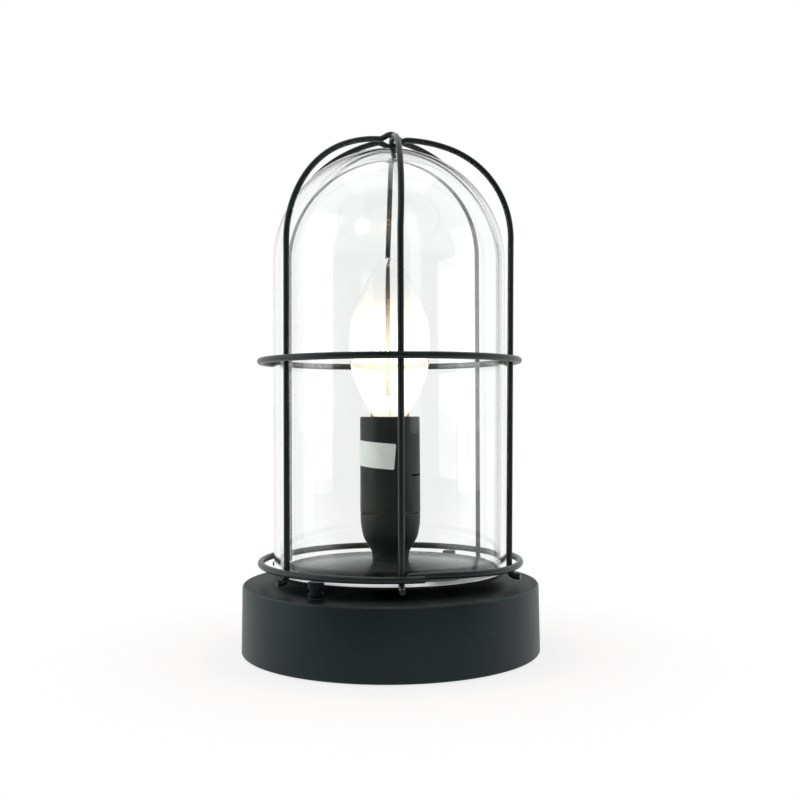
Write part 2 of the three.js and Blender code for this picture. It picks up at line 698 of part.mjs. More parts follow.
function halfHoop(offset) {
  const footHeight = ringBaseHeight - HOOP_FOOT_DROP;
  const foot = arc(ringRadius, footHeight, hoopFootReach, 270, 180, HOOP_FOOT_STEPS);
  const toe = [ringRadius + HOOP_TOE_REACH, footHeight - hoopFootReach];
  const shoulder = arc(
    HOOP_CROWN_REACH,
    hoopShoulderHeight,
    hoopShoulderRadius,
    0,
    joinAngle,
    HOOP_SHOULDER_STEPS,
  );
  const half = [toe, ...foot, ...shoulder];
  const reaches = [];
  for (let i = 1; i <= HOOP_CROWN_STEPS; i += 1) {
    reaches.push(joinReach + (CROSSING_REACH - joinReach) * i / HOOP_CROWN_STEPS);
  }
  for (let i = 1; i < CROSSING_STEPS; i += 1) {
    reaches.push(CROSSING_REACH * (1 - i / CROSSING_STEPS));
  }
  for (const reach of reaches) {
    const share = Math.min(reach / CROSSING_REACH, 1);
    const bump = offset * (1 + Math.cos(Math.PI * share)) / 2;
    half.push([reach, crownCentre + Math.sqrt(crownRadius ** 2 - reach ** 2) + bump]);
  }
  return half;
}

// Share of a rise between two heights that is done at a height
function riseShare(height, from, to) {
  return Math.min(Math.max((height - from) / (to - from), 0), 1);
}

// Spot on a hoop's leg: the leg turns as it climbs, and the crown stands a little to one side
function hoopSpot(reach, height, footBearing, shoulderBearing) {
  const turn = riseShare(height, ringBaseHeight, glassShoulderHeight);
  const place = spot(reach, footBearing + (shoulderBearing - footBearing) * turn, height);
  const lean = Math.sin(riseShare(height, glassShoulderHeight, hoopCrownHeight) * Math.PI / 2);
  place.x += HOOP_CROWN_SHIFT * lean;
  return place;
}

const hoopOffsets = [1, 0, -1].map((level) => level * hoopStagger - HOOP_STACK_DROP);
const hoopNames = ['cage_hoop_a', 'cage_hoop_b', 'cage_hoop_c'];
HOOP_BEARINGS.forEach((bearing, i) => {
  const half = halfHoop(hoopOffsets[i]);
  const shoulder = HOOP_SHOULDER_BEARINGS[i];
  const behind = HOOP_BACK_BEARINGS[i];
  const there = half.map(([reach, height]) => hoopSpot(reach, height, bearing, shoulder));
  const back = half.map(([reach, height]) => hoopSpot(reach, height, behind, behind));
  const top = hoopSpot(0, hoopCrownHeight + hoopOffsets[i], shoulder, shoulder);
  piece(hoopNames[i], wire([...there, top, ...back.reverse()], HOOP_WIRE_RADIUS), BLACK_PAINT);
});

// Cage bushes with pins, and the grommets that take them
POST_BEARINGS.forEach((bearing, i) => {
  const place = spot(postCircle, bearing);
  const footTop = bushBottom + BUSH_FOOT_HEIGHT;
  const headBottom = bushTop - BUSH_HEAD_HEIGHT;
  const bush = [
    [0, pinBottom],
    [PIN_RADIUS - PIN_POINT, pinBottom],
    [PIN_RADIUS, pinBottom + PIN_POINT],
    [PIN_RADIUS, bushBottom],
    [BUSH_RADIUS - BUSH_CHAMFER, bushBottom],
    [BUSH_RADIUS, bushBottom + BUSH_CHAMFER],
    [BUSH_RADIUS, footTop - BUSH_CHAMFER],
    [BUSH_NECK_RADIUS, footTop],
    [BUSH_NECK_RADIUS, headBottom],
    [BUSH_HEAD_RADIUS, headBottom + BUSH_CHAMFER],
    [BUSH_HEAD_RADIUS, bushTop],
    [0, bushTop],
  ];
  piece(`cage_bush_${i + 1}`, turnedAt(bush, place), DARK_STEEL);
  const lipTop = coverUnderside - CLEAR;
  const grommet = [
    [pinBore, lipTop - GROMMET_LIP_HEIGHT],
    [GROMMET_LIP_RADIUS, lipTop - GROMMET_LIP_HEIGHT],
    [GROMMET_LIP_RADIUS, lipTop],
    [GROMMET_NECK_RADIUS, lipTop],
    [GROMMET_NECK_RADIUS, grommetBottom],
    [GROMMET_RADIUS, grommetBottom],
    [GROMMET_RADIUS, grommetTop - GROMMET_ROUND],
    [GROMMET_RADIUS - GROMMET_ROUND, grommetTop],
    [pinBore, grommetTop],
    [pinBore, lipTop - GROMMET_LIP_HEIGHT],
  ];
  piece(`grommet_${i + 1}`, turnedAt(grommet, place), RUBBER);
});

// Lamp holder: lower shell with its collar and inner ledge, then the upper shell
const ledgeTop = blockBottom - CLEAR;
const hipBore = CAP_HIP_RADIUS - HOLDER_WALL;
const waistBore = CAP_WAIST_RADIUS - HOLDER_WALL;
const seamBore = HOLDER_SEAM_RADIUS - HOLDER_WALL;
const mouthBore = HOLDER_TOP_RADIUS - HOLDER_WALL;
const capShare = (ledgeTop - capHipHeight) / (holderSeamHeight - capHipHeight);
const ledgeBore = hipBore + (seamBore - hipBore) * capShare;
const ledgeRadius = blockRadius - LEDGE_WIDTH;
const capShell = turned([
  [nippleHole, collarBottom],
  [COLLAR_RADIUS, collarBottom],
  [COLLAR_RADIUS, capNeckHeight],
  [CAP_WAIST_RADIUS, capWaistHeight],
  [CAP_HIP_RADIUS, capHipHeight],
  [HOLDER_SEAM_RADIUS, holderSeamHeight],
  [seamBore, holderSeamHeight],
  [ledgeBore, ledgeTop],
  [ledgeRadius, ledgeTop],
  [ledgeRadius, capLedgeStart],
  [waistBore, capWaistHeight],
  [nippleHole, capFloorHeight],
]);
const grubHeight = (collarBottom + capNeckHeight) / 2 + GRUB_LIFT;
const grubHole = GRUB_RADIUS + CLEAR;
const grubCut = [[0, NIPPLE_RADIUS], [grubHole, NIPPLE_RADIUS], [grubHole, 2 * COLLAR_RADIUS]];
const grubCutter = [...grubCut, [0, 2 * COLLAR_RADIUS]];
const grubOutline = [
  [0, nippleHole],
  [GRUB_RADIUS, nippleHole],
  [GRUB_RADIUS, COLLAR_RADIUS + GRUB_PROUD],
  [0, COLLAR_RADIUS + GRUB_PROUD],
];
const capDrilled = capShell.subtract(turnedOutward(grubCutter, GRUB_BEARING, grubHeight));
piece('holder_cap', capDrilled, BLACK_PLASTIC);
piece('lock_screw', turnedOutward(grubOutline, GRUB_BEARING, grubHeight), BARE_STEEL);

const sleeveShell = turned([
  [seamBore, sleeveBottom],
  [HOLDER_SEAM_RADIUS, sleeveBottom],
  [HOLDER_TOP_RADIUS, holderTopHeight - HOLDER_MOUTH_ROUND],
  [HOLDER_TOP_RADIUS - HOLDER_MOUTH_ROUND, holderTopHeight],
  [mouthBore, holderTopHeight],
]);
const slotInner = HOLDER_TOP_RADIUS - SLOT_DEPTH;
const slotOuter = HOLDER_TOP_RADIUS + OVERRUN;
const slotSweep = SLOT_END_BEARING - SLOT_START_BEARING;
const slotOutline = [];
for (let i = 0; i <= LABEL_STEPS; i += 1) {
  const place = spot(slotOuter, SLOT_START_BEARING + slotSweep * i / LABEL_STEPS);
  slotOutline.push([place.x, place.y]);
}
for (let i = LABEL_STEPS; i >= 0; i -= 1) {
  const place = spot(slotInner, SLOT_START_BEARING + slotSweep * i / LABEL_STEPS);
  slotOutline.push([place.x, place.y]);
}
const slotCutter = plate(slotOutline, slotHeight, slotHeight + SLOT_GAP);
piece('holder_sleeve', sleeveShell.subtract(slotCutter), BLACK_PLASTIC);

// Blank label: a thin strip bent round the holder and set a little askew
const labelInner = HOLDER_SEAM_RADIUS + CLEAR;
const labelSweep = LABEL_END_BEARING - LABEL_START_BEARING;
const labelOutline = [];
for (let i = 0; i <= LABEL_STEPS; i += 1) {
  const place = spot(labelInner, LABEL_START_BEARING + labelSweep * i / LABEL_STEPS);
  labelOutline.push(new THREE.Vector2(place.x, place.y));
}
for (let i = LABEL_STEPS; i >= 0; i -= 1) {
  const bearing = LABEL_START_BEARING + labelSweep * i / LABEL_STEPS;
  const place = spot(labelInner + LABEL_SHEET, bearing);
  labelOutline.push(new THREE.Vector2(place.x, place.y));
}
const labelShape = new THREE.Shape(labelOutline);
const labelSettings = { depth: LABEL_HEIGHT, bevelEnabled: false };
const labelStrip = new THREE.ExtrudeGeometry(labelShape, labelSettings);
const labelSpots = labelStrip.attributes.position;
for (let i = 0; i < labelSpots.count; i += 1) {
  const bearing = Math.atan2(labelSpots.getX(i), -labelSpots.getY(i)) * 180 / Math.PI;
  const share = (bearing - LABEL_START_BEARING) / labelSweep;
  const lift = labelStartHeight + (labelEndHeight - labelStartHeight) * share;
  labelSpots.setZ(i, labelSpots.getZ(i) + lift);
}
piece('holder_label', solidOf(labelStrip), WHITE_PAPER);

// Inside of the holder: block, terminals, screw shell and contact strips
let block = turned([
  [0, blockBottom],
  [blockRadius, blockBottom],
  [blockRadius, blockTop],
  [BLOCK_RECESS_RADIUS, blockTop],
  [BLOCK_RECESS_RADIUS, recessFloor],
  [0, recessFloor],
]);
[TERMINAL_OFFSET, -TERMINAL_OFFSET].forEach((x, i) => {
  const place = new THREE.Vector3(x, 0, 0);
  const hole = TERMINAL_RADIUS + CLEAR;
  const holeTop = blockBottom + TERMINAL_DEPTH;
  const low = blockBottom - OVERRUN;
  const screwTop = holeTop - CLEAR;
  const cut = [[0, low], [hole, low], [hole, holeTop], [0, holeTop]];
  block = block.subtract(turnedAt(cut, place));
  const screw = [
    [0, terminalHeadBottom],
    [TERMINAL_HEAD_RADIUS, terminalHeadBottom],
    [TERMINAL_HEAD_RADIUS, terminalHeadTop],
    [TERMINAL_RADIUS, terminalHeadTop],
    [TERMINAL_RADIUS, screwTop],
    [0, screwTop],
  ];
  piece(`terminal_screw_${i + 1}`, turnedAt(screw, place), BRASS);
});
piece('holder_insulator', block, CREAM_CERAMIC);
piece('screw_shell', turned([
  [SHELL_FLOOR_RADIUS, shellBottom],
  [shellRadius, shellBottom],
  [shellRadius, shellTop],
  [SHELL_BORE_RADIUS, shellTop],
  [SHELL_BORE_RADIUS, shellBottom + SHELL_WALL],
  [SHELL_FLOOR_RADIUS, shellBottom + SHELL_WALL],
]), BRASS);

// Bent strip: an outline in the x-z plane, given a width along y
function strip(outline, width) {
  const shape = new THREE.Shape(outline.map(([x, z]) => new THREE.Vector2(x, z)));
  const geometry = new THREE.ExtrudeGeometry(shape, { depth: width, bevelEnabled: false });
  geometry.rotateX(Math.PI / 2);
  return solidOf(moved(geometry, new THREE.Vector3(0, width / 2, 0)));
}

const stripFloor = recessFloor + CLEAR;
const stripTop = bulbContactHeight - CLEAR;
const stripEnd = CENTRE_STRIP_LENGTH / 2;
const stripRiser = stripEnd - STRIP_SHEET;
piece('centre_contact', strip([
  [-stripEnd, stripFloor],
  [stripEnd, stripFloor],
  [stripEnd, stripTop],
  [-BULB_CONTACT_RADIUS, stripTop],
  [-BULB_CONTACT_RADIUS, stripTop - STRIP_SHEET],
  [stripRiser, stripTop - STRIP_SHEET],
  [stripRiser, stripFloor + STRIP_SHEET],
  [-stripEnd, stripFloor + STRIP_SHEET],
], STRIP_WIDTH), BRASS);
const sideInner = shellRadius + CLEAR;
piece('side_contact', strip([
  [sideInner, shellBottom],
  [sideInner + STRIP_WIDTH * SIDE_FOOT_SHARE, shellBottom],
  [sideInner + STRIP_WIDTH * SIDE_FOOT_SHARE, shellBottom + STRIP_SHEET],
  [sideInner + STRIP_SHEET, shellBottom + STRIP_SHEET],
  [sideInner + STRIP_SHEET, shellBottom + SIDE_STRIP_HEIGHT],
  [sideInner, shellBottom + SIDE_STRIP_HEIGHT],
], STRIP_WIDTH), BRASS);

// Terminal block in the base: ports face the middle and the cord inlet's side
const blockFace = TERMINAL_BLOCK_X + TERMINAL_BLOCK_LENGTH / 2;
const portHeight = (terminalBlockBottom + terminalBlockTop) / 2;
const portRadius = LEAD_RADIUS + CLEAR;
const portOffsets = [-TERMINAL_BLOCK_PITCH, 0, TERMINAL_BLOCK_PITCH];
let terminalBlock = box(
  new THREE.Vector3(TERMINAL_BLOCK_LENGTH, TERMINAL_BLOCK_WIDTH, TERMINAL_BLOCK_HEIGHT),
  new THREE.Vector3(TERMINAL_BLOCK_X, 0, portHeight),
);
for (const y of portOffsets) {
  for (const side of [1, -1]) {
    const inside = TERMINAL_BLOCK_LENGTH / 2 - LEAD_PORT_DEPTH - CLEAR;
    const outside = TERMINAL_BLOCK_LENGTH / 2 + OVERRUN;
    const cut = [[0, inside], [portRadius, inside], [portRadius, outside], [0, outside]];
    const geometry = turnedGeometry(cut, WIRE_SIDES);
    geometry.rotateY(side * Math.PI / 2);
    const place = new THREE.Vector3(TERMINAL_BLOCK_X, y, portHeight);
    terminalBlock = terminalBlock.subtract(solidOf(moved(geometry, place)));
  }
}
piece('terminal_block', terminalBlock, CREAM_CERAMIC);

// Leads: two up through the nipple to the holder's terminals, one to the earth tag
function lead(points, steps) {
  const route = new THREE.CatmullRomCurve3(points.map((point) => new THREE.Vector3(...point)));
  return wire(route.getSpacedPoints(steps), LEAD_RADIUS);
}
const leadStart = blockFace - LEAD_PORT_DEPTH;
const leadOut = blockFace + LEAD_SWEEP;
const leadLow = nippleBottom - LEAD_SLACK;
const leadEndX = TERMINAL_OFFSET - TERMINAL_HEAD_RADIUS - 2 * CLEAR;
const leadEndZ = terminalHeadTop - LEAD_RADIUS - CLEAR;
function riserLead(side) {
  const y = side * LEAD_PAIR_OFFSET;
  return lead([
    [leadStart, side * TERMINAL_BLOCK_PITCH, portHeight],
    [blockFace, side * TERMINAL_BLOCK_PITCH, portHeight],
    [leadOut, side * (TERMINAL_BLOCK_PITCH - LEAD_RADIUS), portHeight - LEAD_SLACK / 2],
    [-LEAD_SWEEP, 2 * y, leadLow],
    [0, y, nippleBottom - LEAD_RADIUS],
    [0, y, (nippleBottom + nippleTop) / 2],
    [0, y, nippleTop - LEAD_RADIUS],
    [-side * leadEndX / 3, y, leadEndZ - 2 * LEAD_RADIUS],
    [-side * leadEndX, 0, leadEndZ],
  ], LEAD_STEPS);
}
piece('lead_live', riserLead(-1), BROWN_LEAD);
piece('lead_neutral', riserLead(1), BLUE_LEAD);
const tagSpot = -TAG_RADIUS - TAG_TAIL_LENGTH + LEAD_SWEEP;
piece('lead_earth', lead([
  [leadStart, 0, portHeight],
  [blockFace + LEAD_RADIUS, 0, portHeight],
  [tagSpot - LEAD_RADIUS, 0, portHeight + LEAD_RADIUS],
  [tagSpot, 0, (portHeight + tagBottom) / 2],
  [tagSpot, 0, tagBottom - CLEAR],
], EARTH_STEPS), GREEN_LEAD);

// Bulb: glass, cap, its insulator and contact
const bulbHeight = bulbTipHeight - bulbNeckBottom;
const bulbWide = bulbNeckBottom + bulbHeight * BULB_WIDE_SHARE;
const bulbOuter = bulbOutlineShares.map(([share, rise]) => (
  [BULB_RADIUS * share, bulbNeckBottom + bulbHeight * rise]
));
const bulbInner = bulbOuter.map(([radius, height]) => {
  if (height <= bulbWide) return [radius - BULB_GLASS_WALL, height];
  const drop = BULB_GLASS_WALL * (height - bulbWide) / (bulbTipHeight - bulbWide);
  return [radius * (1 - BULB_GLASS_WALL / BULB_RADIUS), height - drop];
});
const bulbNeckTop = bulbCapTop + CLEAR;
const bulbOutline = [
  [0, bulbTipHeight - BULB_GLASS_WALL],
  ...bulbInner.reverse(),
  [BULB_NECK_RADIUS - BULB_GLASS_WALL, bulbNeckTop],
  [BULB_NECK_RADIUS - BULB_GLASS_WALL, bulbNeckBottom],
  [BULB_NECK_RADIUS, bulbNeckBottom],
  [BULB_NECK_RADIUS, bulbNeckTop],
  ...bulbOuter,
  [0, bulbTipHeight],
];
piece('bulb_glass', solidOf(turnedGeometry(bulbOutline, HOLDER_SIDES)), CLEAR_GLASS, 0.3);
const capBore = bulbCapRadius - BULB_CAP_WALL;
const capFloorRadius = bulbCapRadius - BULB_CAP_TAPER;
const capFloorBore = BULB_INSULATOR_RADIUS - BULB_CAP_TAPER;
piece('bulb_cap', turned([
  [capFloorBore, bulbCapBottom],
  [capFloorRadius, bulbCapBottom],
  [bulbCapRadius, bulbCapBottom + BULB_CAP_TAPER],
  [bulbCapRadius, bulbCapTop],
  [capBore, bulbCapTop],
  [capBore, bulbCapBottom + BULB_CAP_TAPER],
  [capFloorRadius - BULB_CAP_WALL, bulbCapBottom + BULB_CAP_WALL],
  [capFloorBore, bulbCapBottom + BULB_CAP_WALL],
]), BRASS);
const contactTop = bulbContactHeight + BULB_CONTACT_SHEET;
const vitriteBottom = contactTop + CLEAR;
const vitriteTop = bulbCapBottom - CLEAR;
piece('bulb_insulator', turned([
  [0, vitriteBottom],
  [BULB_CONTACT_RADIUS, vitriteBottom],
  [BULB_INSULATOR_RADIUS, vitriteTop - BULB_CAP_TAPER],
  [BULB_INSULATOR_RADIUS, vitriteTop],
  [0, vitriteTop],
], SMALL_SIDES), BLACK_PLASTIC);
const contact = ring(0, BULB_CONTACT_RADIUS, bulbContactHeight, contactTop, SMALL_SIDES);
piece('bulb_contact', contact, BRASS);

// Bulb: stem, lead wires, supports and filament
const flareRadius = BULB_NECK_RADIUS - BULB_GLASS_WALL - CLEAR;
piece('bulb_stem', turned([
  [0, bulbStemBottom],
  [flareRadius, bulbStemBottom],
  [BULB_STEM_RADIUS, bulbStemBottom + BULB_STEM_FLARE],
  [BULB_STEM_RADIUS, bulbStemTop - CLEAR],
  [BULB_STEM_RADIUS - CLEAR, bulbStemTop],
  [0, bulbStemTop],
], SMALL_SIDES), CLEAR_GLASS, 0.3);
const wireStart = bulbStemTop + CLEAR;
const filamentEnd = filamentBottom + CLEAR;
[1, -1].forEach((side, i) => {
  const inner = side * BULB_STEM_RADIUS * LEAD_WIRE_SHARE;
  const leadWire = [
    new THREE.Vector3(inner, 0, wireStart),
    new THREE.Vector3(2 * inner, 0, wireStart + FILAMENT_SPAN),
    new THREE.Vector3(side * FILAMENT_SPAN, 0, filamentBottom),
  ];
  piece(`bulb_lead_${i + 1}`, wire(leadWire, SUPPORT_WIRE_RADIUS), BARE_STEEL);
  const support = [
    new THREE.Vector3(0, inner, wireStart),
    new THREE.Vector3(0, inner, filamentBottom - FILAMENT_SPAN),
    new THREE.Vector3(side * FILAMENT_SPAN / 2, inner / 2, filamentBottom + SUPPORT_LIFT),
    new THREE.Vector3(side * FILAMENT_SPAN / 2, inner / 2, filamentBottom + FILAMENT_RISE),
  ];
  piece(`bulb_support_${i + 1}`, wire(support, SUPPORT_WIRE_RADIUS), BARE_STEEL);
});
const filamentPoints = [];
for (let i = 0; i <= FILAMENT_STEPS; i += 1) {
  const share = i / FILAMENT_STEPS;
  const x = FILAMENT_SPAN * (2 * share - 1);
  const z = filamentEnd + FILAMENT_RISE * Math.sin(2 * Math.PI * share) ** 2;
  filamentPoints.push(new THREE.Vector3(x, 0, z));
}
piece('filament', wire(filamentPoints, FILAMENT_WIRE_RADIUS), GLOWING_WIRE);

export default lamp;
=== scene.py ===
"""Looks of the glass lamp: the fine shape and the finish of every piece, on its fixed frame."""

import math

import bmesh
import bpy
from bpy.props import FloatProperty, FloatVectorProperty, IntProperty, PointerProperty
from mathutils import Matrix, Vector


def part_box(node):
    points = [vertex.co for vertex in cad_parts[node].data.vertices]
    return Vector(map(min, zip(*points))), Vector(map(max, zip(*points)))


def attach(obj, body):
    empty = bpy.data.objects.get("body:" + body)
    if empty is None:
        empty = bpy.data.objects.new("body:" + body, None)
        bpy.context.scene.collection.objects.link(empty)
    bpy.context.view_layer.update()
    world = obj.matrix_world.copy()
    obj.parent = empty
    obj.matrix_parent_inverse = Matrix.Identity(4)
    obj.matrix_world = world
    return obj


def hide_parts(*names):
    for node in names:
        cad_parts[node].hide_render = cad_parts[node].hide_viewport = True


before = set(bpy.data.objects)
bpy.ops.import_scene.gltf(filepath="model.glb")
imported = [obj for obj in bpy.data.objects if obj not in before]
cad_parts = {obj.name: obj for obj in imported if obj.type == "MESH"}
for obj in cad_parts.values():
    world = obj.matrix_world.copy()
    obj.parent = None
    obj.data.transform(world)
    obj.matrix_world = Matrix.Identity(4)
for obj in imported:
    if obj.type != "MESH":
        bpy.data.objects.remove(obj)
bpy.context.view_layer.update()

bl_info = {
    "name": "Glass Lamp",
    "version": (1, 0, 0),
    "blender": (4, 5, 0),
    "location": "3D View > Sidebar > Lamp",
    "description": "Builds a caged glass lamp on its frame, piece by piece",
    "category": "Add Mesh",
}

MM = 0.001
TINY = 1e-6
CREASE = 32
WIRE_CREASE = 40
COOL = (0.78, 1.0, 0.98)
BOTTOM_SCREWS = ("bottom_screw_1", "bottom_screw_2", "bottom_screw_3")

# Clearances, walls and holes, which the boxes of the frame don't show
CLEAR = 0.3 * MM
THREAD_HOLE = 5.3 * MM
COVER_WALL = 1.2 * MM
COVER_SHEET = 1.6 * MM
COVER_TAPER = 0.45 * MM
BOSS_RADIUS = 3.2 * MM
SCREW_HOLE = 1.7 * MM
GROMMET_HOLE = 2.9 * MM
INLET_HEIGHT = 19 * MM
INLET_BORE = 3.25 * MM
INLET_NECK = 4.45 * MM
INLET_HOLE = 4.75 * MM
TRAY_SHEET = 1 * MM
TRAY_CENTRE = 9 * MM
TRAY_STEP = 46.9 * MM
TRAY_STEP_RISE = 1.5 * MM
PIN_BORE = 1.8 * MM
HOLDER_WALL = 1.6 * MM


def low(node):
    """Lowest corner of a node's box."""
    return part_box(node)[0]


def high(node):
    """Highest corner of a node's box."""
    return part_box(node)[1]


def middle(node):
    """Middle of a node's box."""
    return (low(node) + high(node)) / 2


def half_width(node):
    """Half the width of a node's box."""
    return (high(node).x - low(node).x) / 2


class BaseSettings(bpy.types.PropertyGroup):
    """Sizes and colours of the weighted base."""

    edge: FloatProperty(
        name="Top edge", description="Rounding of the cover's top edge",
        default=1.3 * MM, min=0.1 * MM, max=4 * MM, unit="LENGTH", precision=5,
    )
    hem: FloatProperty(
        name="Hem", description="Rounding of the cover's lower edge",
        default=0.8 * MM, min=0.1 * MM, max=1.1 * MM, unit="LENGTH", precision=5,
    )
    paint: FloatVectorProperty(
        name="Paint", description="Colour of the powder coat on base and spacer",
        default=(0.0042, 0.0072, 0.0072), min=0, max=1, subtype="COLOR",
    )
    roughness: FloatProperty(
        name="Roughness", description="Roughness of the powder coat",
        default=0.42, min=0, max=1, subtype="FACTOR",
    )


class TraySettings(bpy.types.PropertyGroup):
    """Colour of the tray under the bell."""

    paint: FloatVectorProperty(
        name="Paint", description="Colour of the paint on the tray",
        default=(0.006, 0.0072, 0.0068), min=0, max=1, subtype="COLOR",
    )
    roughness: FloatProperty(
        name="Roughness", description="Roughness of the paint on the tray",
        default=0.25, min=0, max=1, subtype="FACTOR",
    )


class GlassSettings(bpy.types.PropertyGroup):
    """Sizes and tint of the glass bell."""

    wall: FloatProperty(
        name="Wall", description="Thickness of the glass",
        default=2.5 * MM, min=1 * MM, max=4 * MM, unit="LENGTH", precision=5,
    )
    crown_wall: FloatProperty(
        name="Crown wall", description="Thickness of the glass at the top of the crown",
        default=3.4 * MM, min=1 * MM, max=8 * MM, unit="LENGTH", precision=5,
    )
    crown: FloatProperty(
        name="Crown", description="Height of the round crown over the straight side",
        default=49.6 * MM, min=20 * MM, max=60 * MM, unit="LENGTH", precision=5,
    )
    tint: FloatVectorProperty(
        name="Tint", description="Colour that the glass gives to light passing through it",
        default=(0.994, 1.0, 0.997), min=0, max=1, subtype="COLOR",
    )


class CageSettings(bpy.types.PropertyGroup):
    """Sizes and colour of the wire cage."""

    ring_wire: FloatProperty(
        name="Ring wire", description="Radius of the wire of the two rings",
        default=1.4 * MM, min=0.5 * MM, max=3 * MM, unit="LENGTH", precision=5,
    )
    hoop_wire: FloatProperty(
        name="Hoop wire", description="Radius of the wire of the three hoops",
        default=1.25 * MM, min=0.5 * MM, max=3 * MM, unit="LENGTH", precision=5,
    )
    paint: FloatVectorProperty(
        name="Paint", description="Colour of the paint on the wires",
        default=(0.006, 0.0092, 0.0088), min=0, max=1, subtype="COLOR",
    )
    roughness: FloatProperty(
        name="Roughness", description="Roughness of the paint on the wires",
        default=0.34, min=0, max=1, subtype="FACTOR",
    )


class HolderSettings(bpy.types.PropertyGroup):
    """Sizes and colours of the lamp holder."""

    mouth: FloatProperty(
        name="Mouth", description="Rounding of the holder's upper edge",
        default=0.5 * MM, min=0.1 * MM, max=0.7 * MM, unit="LENGTH", precision=5,
    )
    plastic: FloatVectorProperty(
        name="Plastic", description="Colour of the moulded shells",
        default=(0.0062, 0.0076, 0.0072), min=0, max=1, subtype="COLOR",
    )
    label: FloatVectorProperty(
        name="Label", description="Colour of the blank label",
        default=(0.75, 0.8, 0.78), min=0, max=1, subtype="COLOR",
    )
    label_sheet: FloatProperty(
        name="Label sheet", description="Thickness of the label's paper",
        default=0.12 * MM, min=0.05 * MM, max=0.3 * MM, unit="LENGTH", precision=5,
    )


class BulbSettings(bpy.types.PropertyGroup):
    """Sizes and glow of the candle bulb."""

    wall: FloatProperty(
        name="Wall", description="Thickness of the bulb's glass",
        default=0.6 * MM, min=0.3 * MM, max=1 * MM, unit="LENGTH", precision=5,
    )
    thread: FloatProperty(
        name="Thread", description="Depth of the rolled screw thread",
        default=0.55 * MM, min=0.1 * MM, max=0.8 * MM, unit="LENGTH", precision=5,
    )
    pitch: FloatProperty(
        name="Pitch", description="Height of one turn of the thread",
        default=2.82 * MM, min=1 * MM, max=4 * MM, unit="LENGTH", precision=5,
    )
    coil: FloatProperty(
        name="Coil", description="Radius of the filament's fine coil",
        default=0.34 * MM, min=0.1 * MM, max=0.5 * MM, unit="LENGTH", precision=5,
    )
    glow: FloatVectorProperty(
        name="Glow", description="Colour of the filament's light",
        default=(1.0, 0.62, 0.3), min=0, max=1, subtype="COLOR",
    )
    glare: FloatProperty(
        name="Glare", description="Strength of the shine in the bulb's glass",
        default=0.24, min=0, max=5,
    )


class StageSettings(bpy.types.PropertyGroup):
    """Camera, floor and light."""

    distance: FloatProperty(
        name="Distance", description="Distance of the camera from the lamp's axis",
        default=0.46, min=0.2, max=3, unit="LENGTH",
    )
    height: FloatProperty(
        name="Height", description="Height of the camera over the floor",
        default=102.1 * MM, min=0, max=1, unit="LENGTH", precision=4,
    )
    lens: FloatProperty(
        name="Lens", description="Focal length in millimetres",
        default=47.82, min=20, max=200,
    )
    room: FloatProperty(
        name="Room light", description="Strength of the even light from all round",
        default=0.5, min=0, max=2,
    )
    front: FloatProperty(
        name="Dark front", description="Brightness of the dark side that faces the lamp",
        default=0.05, min=0, max=1,
    )
    left_box: FloatProperty(
        name="Left box", description="Brightness of the wide soft light on the left",
        default=1.15, min=0, max=10,
    )
    strip_box: FloatProperty(
        name="Strip box", description="Brightness of the narrow light in front on the right",
        default=1.3, min=0, max=10,
    )
    right_box: FloatProperty(
        name="Right box", description="Brightness of the low soft light on the right",
        default=0.7, min=0, max=10,
    )
    bowl: FloatProperty(
        name="Bowl", description="Brightness of the small round light in front on the left",
        default=3, min=0, max=30,
    )


class LampSettings(bpy.types.PropertyGroup):
    """All settings of the lamp."""

    facets: IntProperty(
        name="Facets", description="Facets round the large turned pieces",
        default=160, min=24, max=256,
    )
    small_facets: IntProperty(
        name="Small facets", description="Facets round the small turned pieces",
        default=56, min=12, max=128,
    )
    base: PointerProperty(type=BaseSettings)
    tray: PointerProperty(type=TraySettings)
    glass: PointerProperty(type=GlassSettings)
    cage: PointerProperty(type=CageSettings)
    holder: PointerProperty(type=HolderSettings)
    bulb: PointerProperty(type=BulbSettings)
    stage: PointerProperty(type=StageSettings)


# Shader building

# How far from the edge of a spun top its wear, its painted highlight and its matt top start, and
# how near they are full
RUBBED_EDGE = (1.4 * MM, 0)
PAINTED_EDGE_HIGHLIGHT = (1 * MM, 0.4 * MM)
MATT_TOP = (0.3 * MM, 0.1 * MM)
# Front part of a dusty piece: shares of its radius between which the dust goes
DUST_FADE = (-0.8, 0.3)
# Ground lip of blown glass: its height, and how far to the sides and how much it clears, where
# painted light fades to the right
LIP_HEIGHT = 0.8 * MM
LIP_LIGHT_FADE = (6 * MM, 20 * MM)
LIP_LIGHT_LOSS = 0.85


class Number:
    """A socket that holds a number and takes Python's operators."""

    def __init__(self, finish, socket):
        self.finish = finish
        self.socket = socket

    def worked(self, operation, *values):
        """This number put through a maths node."""
        inputs = dict(enumerate((self, *values)))
        return self.finish.number("ShaderNodeMath", {"operation": operation}, inputs)

    def __add__(self, other):
        return self.worked("ADD", other)

    def __radd__(self, other):
        return self.worked("ADD", other)

    def __sub__(self, other):
        return self.worked("SUBTRACT", other)

    def __rsub__(self, other):
        return self.worked("MULTIPLY_ADD", -1, other)

    def __mul__(self, other):
        return self.worked("MULTIPLY", other)

    def __rmul__(self, other):
        return self.worked("MULTIPLY", other)

    def __pow__(self, other):
        return self.worked("POWER", other)

    def step(self, start, end):
        """Smooth rise from 0 to 1 as the number goes from start to end."""
        settings = {"interpolation_type": "SMOOTHSTEP"}
        inputs = {"Value": self, "From Min": start, "From Max": end}
        return self.finish.number("ShaderNodeMapRange", settings, inputs)


